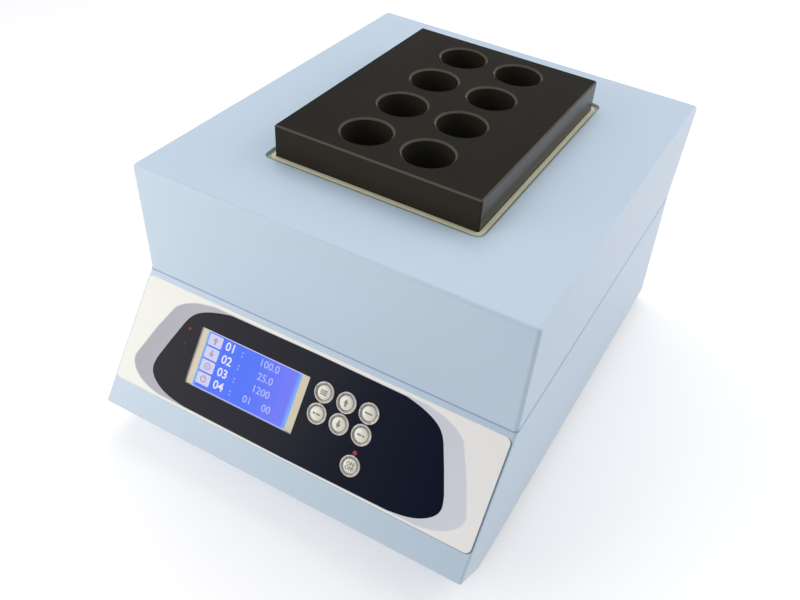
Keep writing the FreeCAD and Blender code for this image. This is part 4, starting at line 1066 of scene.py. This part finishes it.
class INSTRUMENT_OT_set_stage(bpy.types.Operator):
    """Lay the floor and backdrop, and set the lamps and the camera"""

    bl_idname = "instrument.set_stage"
    bl_label = "Set the stage"

    def execute(self, context):
        """Floor that bends up into a backdrop, soft light from all sides, and the camera."""
        stage = context.scene.instrument_stage
        self.floor(stage)
        self.world(context, stage)
        warm = (1.0, 0.88, 0.8)
        self.lamp("key_lamp", stage.key_lamp, 0.5, (-0.4, -0.5, 0.3), warm)
        self.lamp("fill_lamp", stage.fill_lamp, 1.2, (1.0, 0.9, 0.7), warm)
        self.lamp("top_lamp", stage.top_lamp, 1.0, (-0.3, 0.5, 1.2), (1.0, 0.98, 1.0))
        self.camera(context, stage)
        context.scene.view_settings.view_transform = "Standard"
        return {"FINISHED"}

    def floor(self, stage):
        """Sheet that lies flat, then bends up with a radius of half a metre."""
        half = 3.0
        radius = 0.5
        back = 1.4
        bend = np.linspace(0.0, math.pi / 2, 16)
        y = np.concatenate([[-half], back + radius * np.sin(bend), [back + radius]])
        z = np.concatenate([[0.0], radius * (1.0 - np.cos(bend)), [half]])
        rows = np.empty((2, len(y), 3))
        rows[..., 0] = [[half], [-half]]
        rows[..., 1] = y
        rows[..., 2] = z
        points, faces = surface(rows, closed=False)
        mesh = bpy.data.meshes.new("floor")
        mesh.from_pydata(points.tolist(), [], faces)
        mesh.shade_smooth()
        mesh.materials.append(self.paper(stage))
        sheet = bpy.data.objects.new("floor", mesh)
        bpy.context.scene.collection.objects.link(sheet)

    @staticmethod
    def paper(stage):
        """Plain paper, lifted towards white where it is seen, and not where it lights the object."""
        material = finish(
            "floor_paper", stage.floor, 0.9, spread=0.0, relief=0.0, Specular_IOR_Level=0.2,
            Emission_Color=(1.0, 1.0, 1.0, 1.0),
        )
        tree = material.node_tree
        lift = add_node(
            tree, "ShaderNodeMath", {0: background_ray(tree), 1: stage.floor_lift}, operation="MULTIPLY"
        )
        feed(tree, shader_of(material), {"Emission Strength": lift.outputs["Value"]})
        return material

    @staticmethod
    def world(context, stage):
        """Even light all round, and a plain white in its place where it is seen."""
        world = context.scene.world or bpy.data.worlds.new("soft_light")
        context.scene.world = world
        world.use_nodes = True
        tree = world.node_tree
        around = tree.nodes["Background"]
        feed(tree, around, {"Color": (0.95, 1.0, 1.0, 1.0), "Strength": stage.world})
        white = {"Color": (1.0, 1.0, 1.0, 1.0), "Strength": stage.sky}
        seen = add_node(tree, "ShaderNodeBackground", white).outputs["Background"]
        inputs = {"Fac": background_ray(tree), 1: around.outputs["Background"], 2: seen}
        mixed = add_node(tree, "ShaderNodeMixShader", inputs)
        feed(tree, tree.nodes["World Output"], {"Surface": mixed.outputs["Shader"]})

    @staticmethod
    def lamp(name, power, size, place, colour):
        """Square area lamp that points at the instrument."""
        light = bpy.data.lights.new(name, "AREA")
        light.color = colour
        light.energy = power
        light.size = size
        lamp = bpy.data.objects.new(name, light)
        middle = Vector((0.0, 0.0, 0.09))
        aim = middle - Vector(place)
        lamp.matrix_world = Matrix.LocRotScale(Vector(place), aim.to_track_quat("-Z", "Y"), None)
        bpy.context.scene.collection.objects.link(lamp)

    @staticmethod
    def camera(context, stage):
        """Camera at the photograph's viewpoint, with its off-centre framing as lens shift."""
        camera = bpy.data.cameras.new("camera")
        camera.sensor_width = 36.0
        camera.lens = stage.lens
        camera.shift_x = -0.05625
        camera.shift_y = 0.0199
        viewpoint = Vector((0.19693, -0.39044, 0.42192))
        right = Vector((0.87862, 0.4697, 0.08611))
        down = Vector((0.36868, -0.55264, -0.74744))
        ahead = Vector((-0.30348, 0.68846, -0.65873))
        turn = Matrix((right, -down, -ahead)).transposed()
        holder = bpy.data.objects.new("camera", camera)
        holder.matrix_world = Matrix.Translation(viewpoint) @ turn.to_4x4()
        context.scene.collection.objects.link(holder)
        context.scene.camera = holder


OPERATORS = (
    INSTRUMENT_OT_paint_casing,
    INSTRUMENT_OT_finish_chamber,
    INSTRUMENT_OT_finish_drive,
    INSTRUMENT_OT_print_panel,
    INSTRUMENT_OT_fit_display,
    INSTRUMENT_OT_fit_keys,
    INSTRUMENT_OT_fit_lights,
    INSTRUMENT_OT_finish_rear,
    INSTRUMENT_OT_set_stage,
)

# The values, by the name under which the scene holds them
VALUES = {
    "instrument_finishes": InstrumentFinishes,
    "instrument_sizes": InstrumentSizes,
    "instrument_stage": InstrumentStage,
}


class VIEW3D_PT_instrument(bpy.types.Panel):
    """Sidebar panel with the instrument's values and steps"""

    bl_idname = "VIEW3D_PT_instrument"
    bl_label = "Heating and stirring block"
    bl_space_type = "VIEW_3D"
    bl_region_type = "UI"
    bl_category = "Instrument"

    def draw(self, context):
        """List the values, then a button for each step."""
        for attribute in VALUES:
            group = getattr(context.scene, attribute)
            box = self.layout.box()
            for name in group.__annotations__:
                box.prop(group, name)
        for operator in OPERATORS:
            self.layout.operator(operator.bl_idname)


CLASSES = (*VALUES.values(), *OPERATORS, VIEW3D_PT_instrument)


def register():
    """Register the classes and their values."""
    for cls in CLASSES:
        bpy.utils.register_class(cls)
    for attribute, group in VALUES.items():
        setattr(bpy.types.Scene, attribute, PointerProperty(type=group))


def unregister():
    """Undo register."""
    for attribute in VALUES:
        delattr(bpy.types.Scene, attribute)
    for cls in reversed(CLASSES):
        bpy.utils.unregister_class(cls)


def main():
    """Run every step in order."""
    register()
    for operator in OPERATORS:
        group, name = operator.bl_idname.split(".")
        getattr(getattr(bpy.ops, group), name)()


if __name__ == "__main__":
    main()
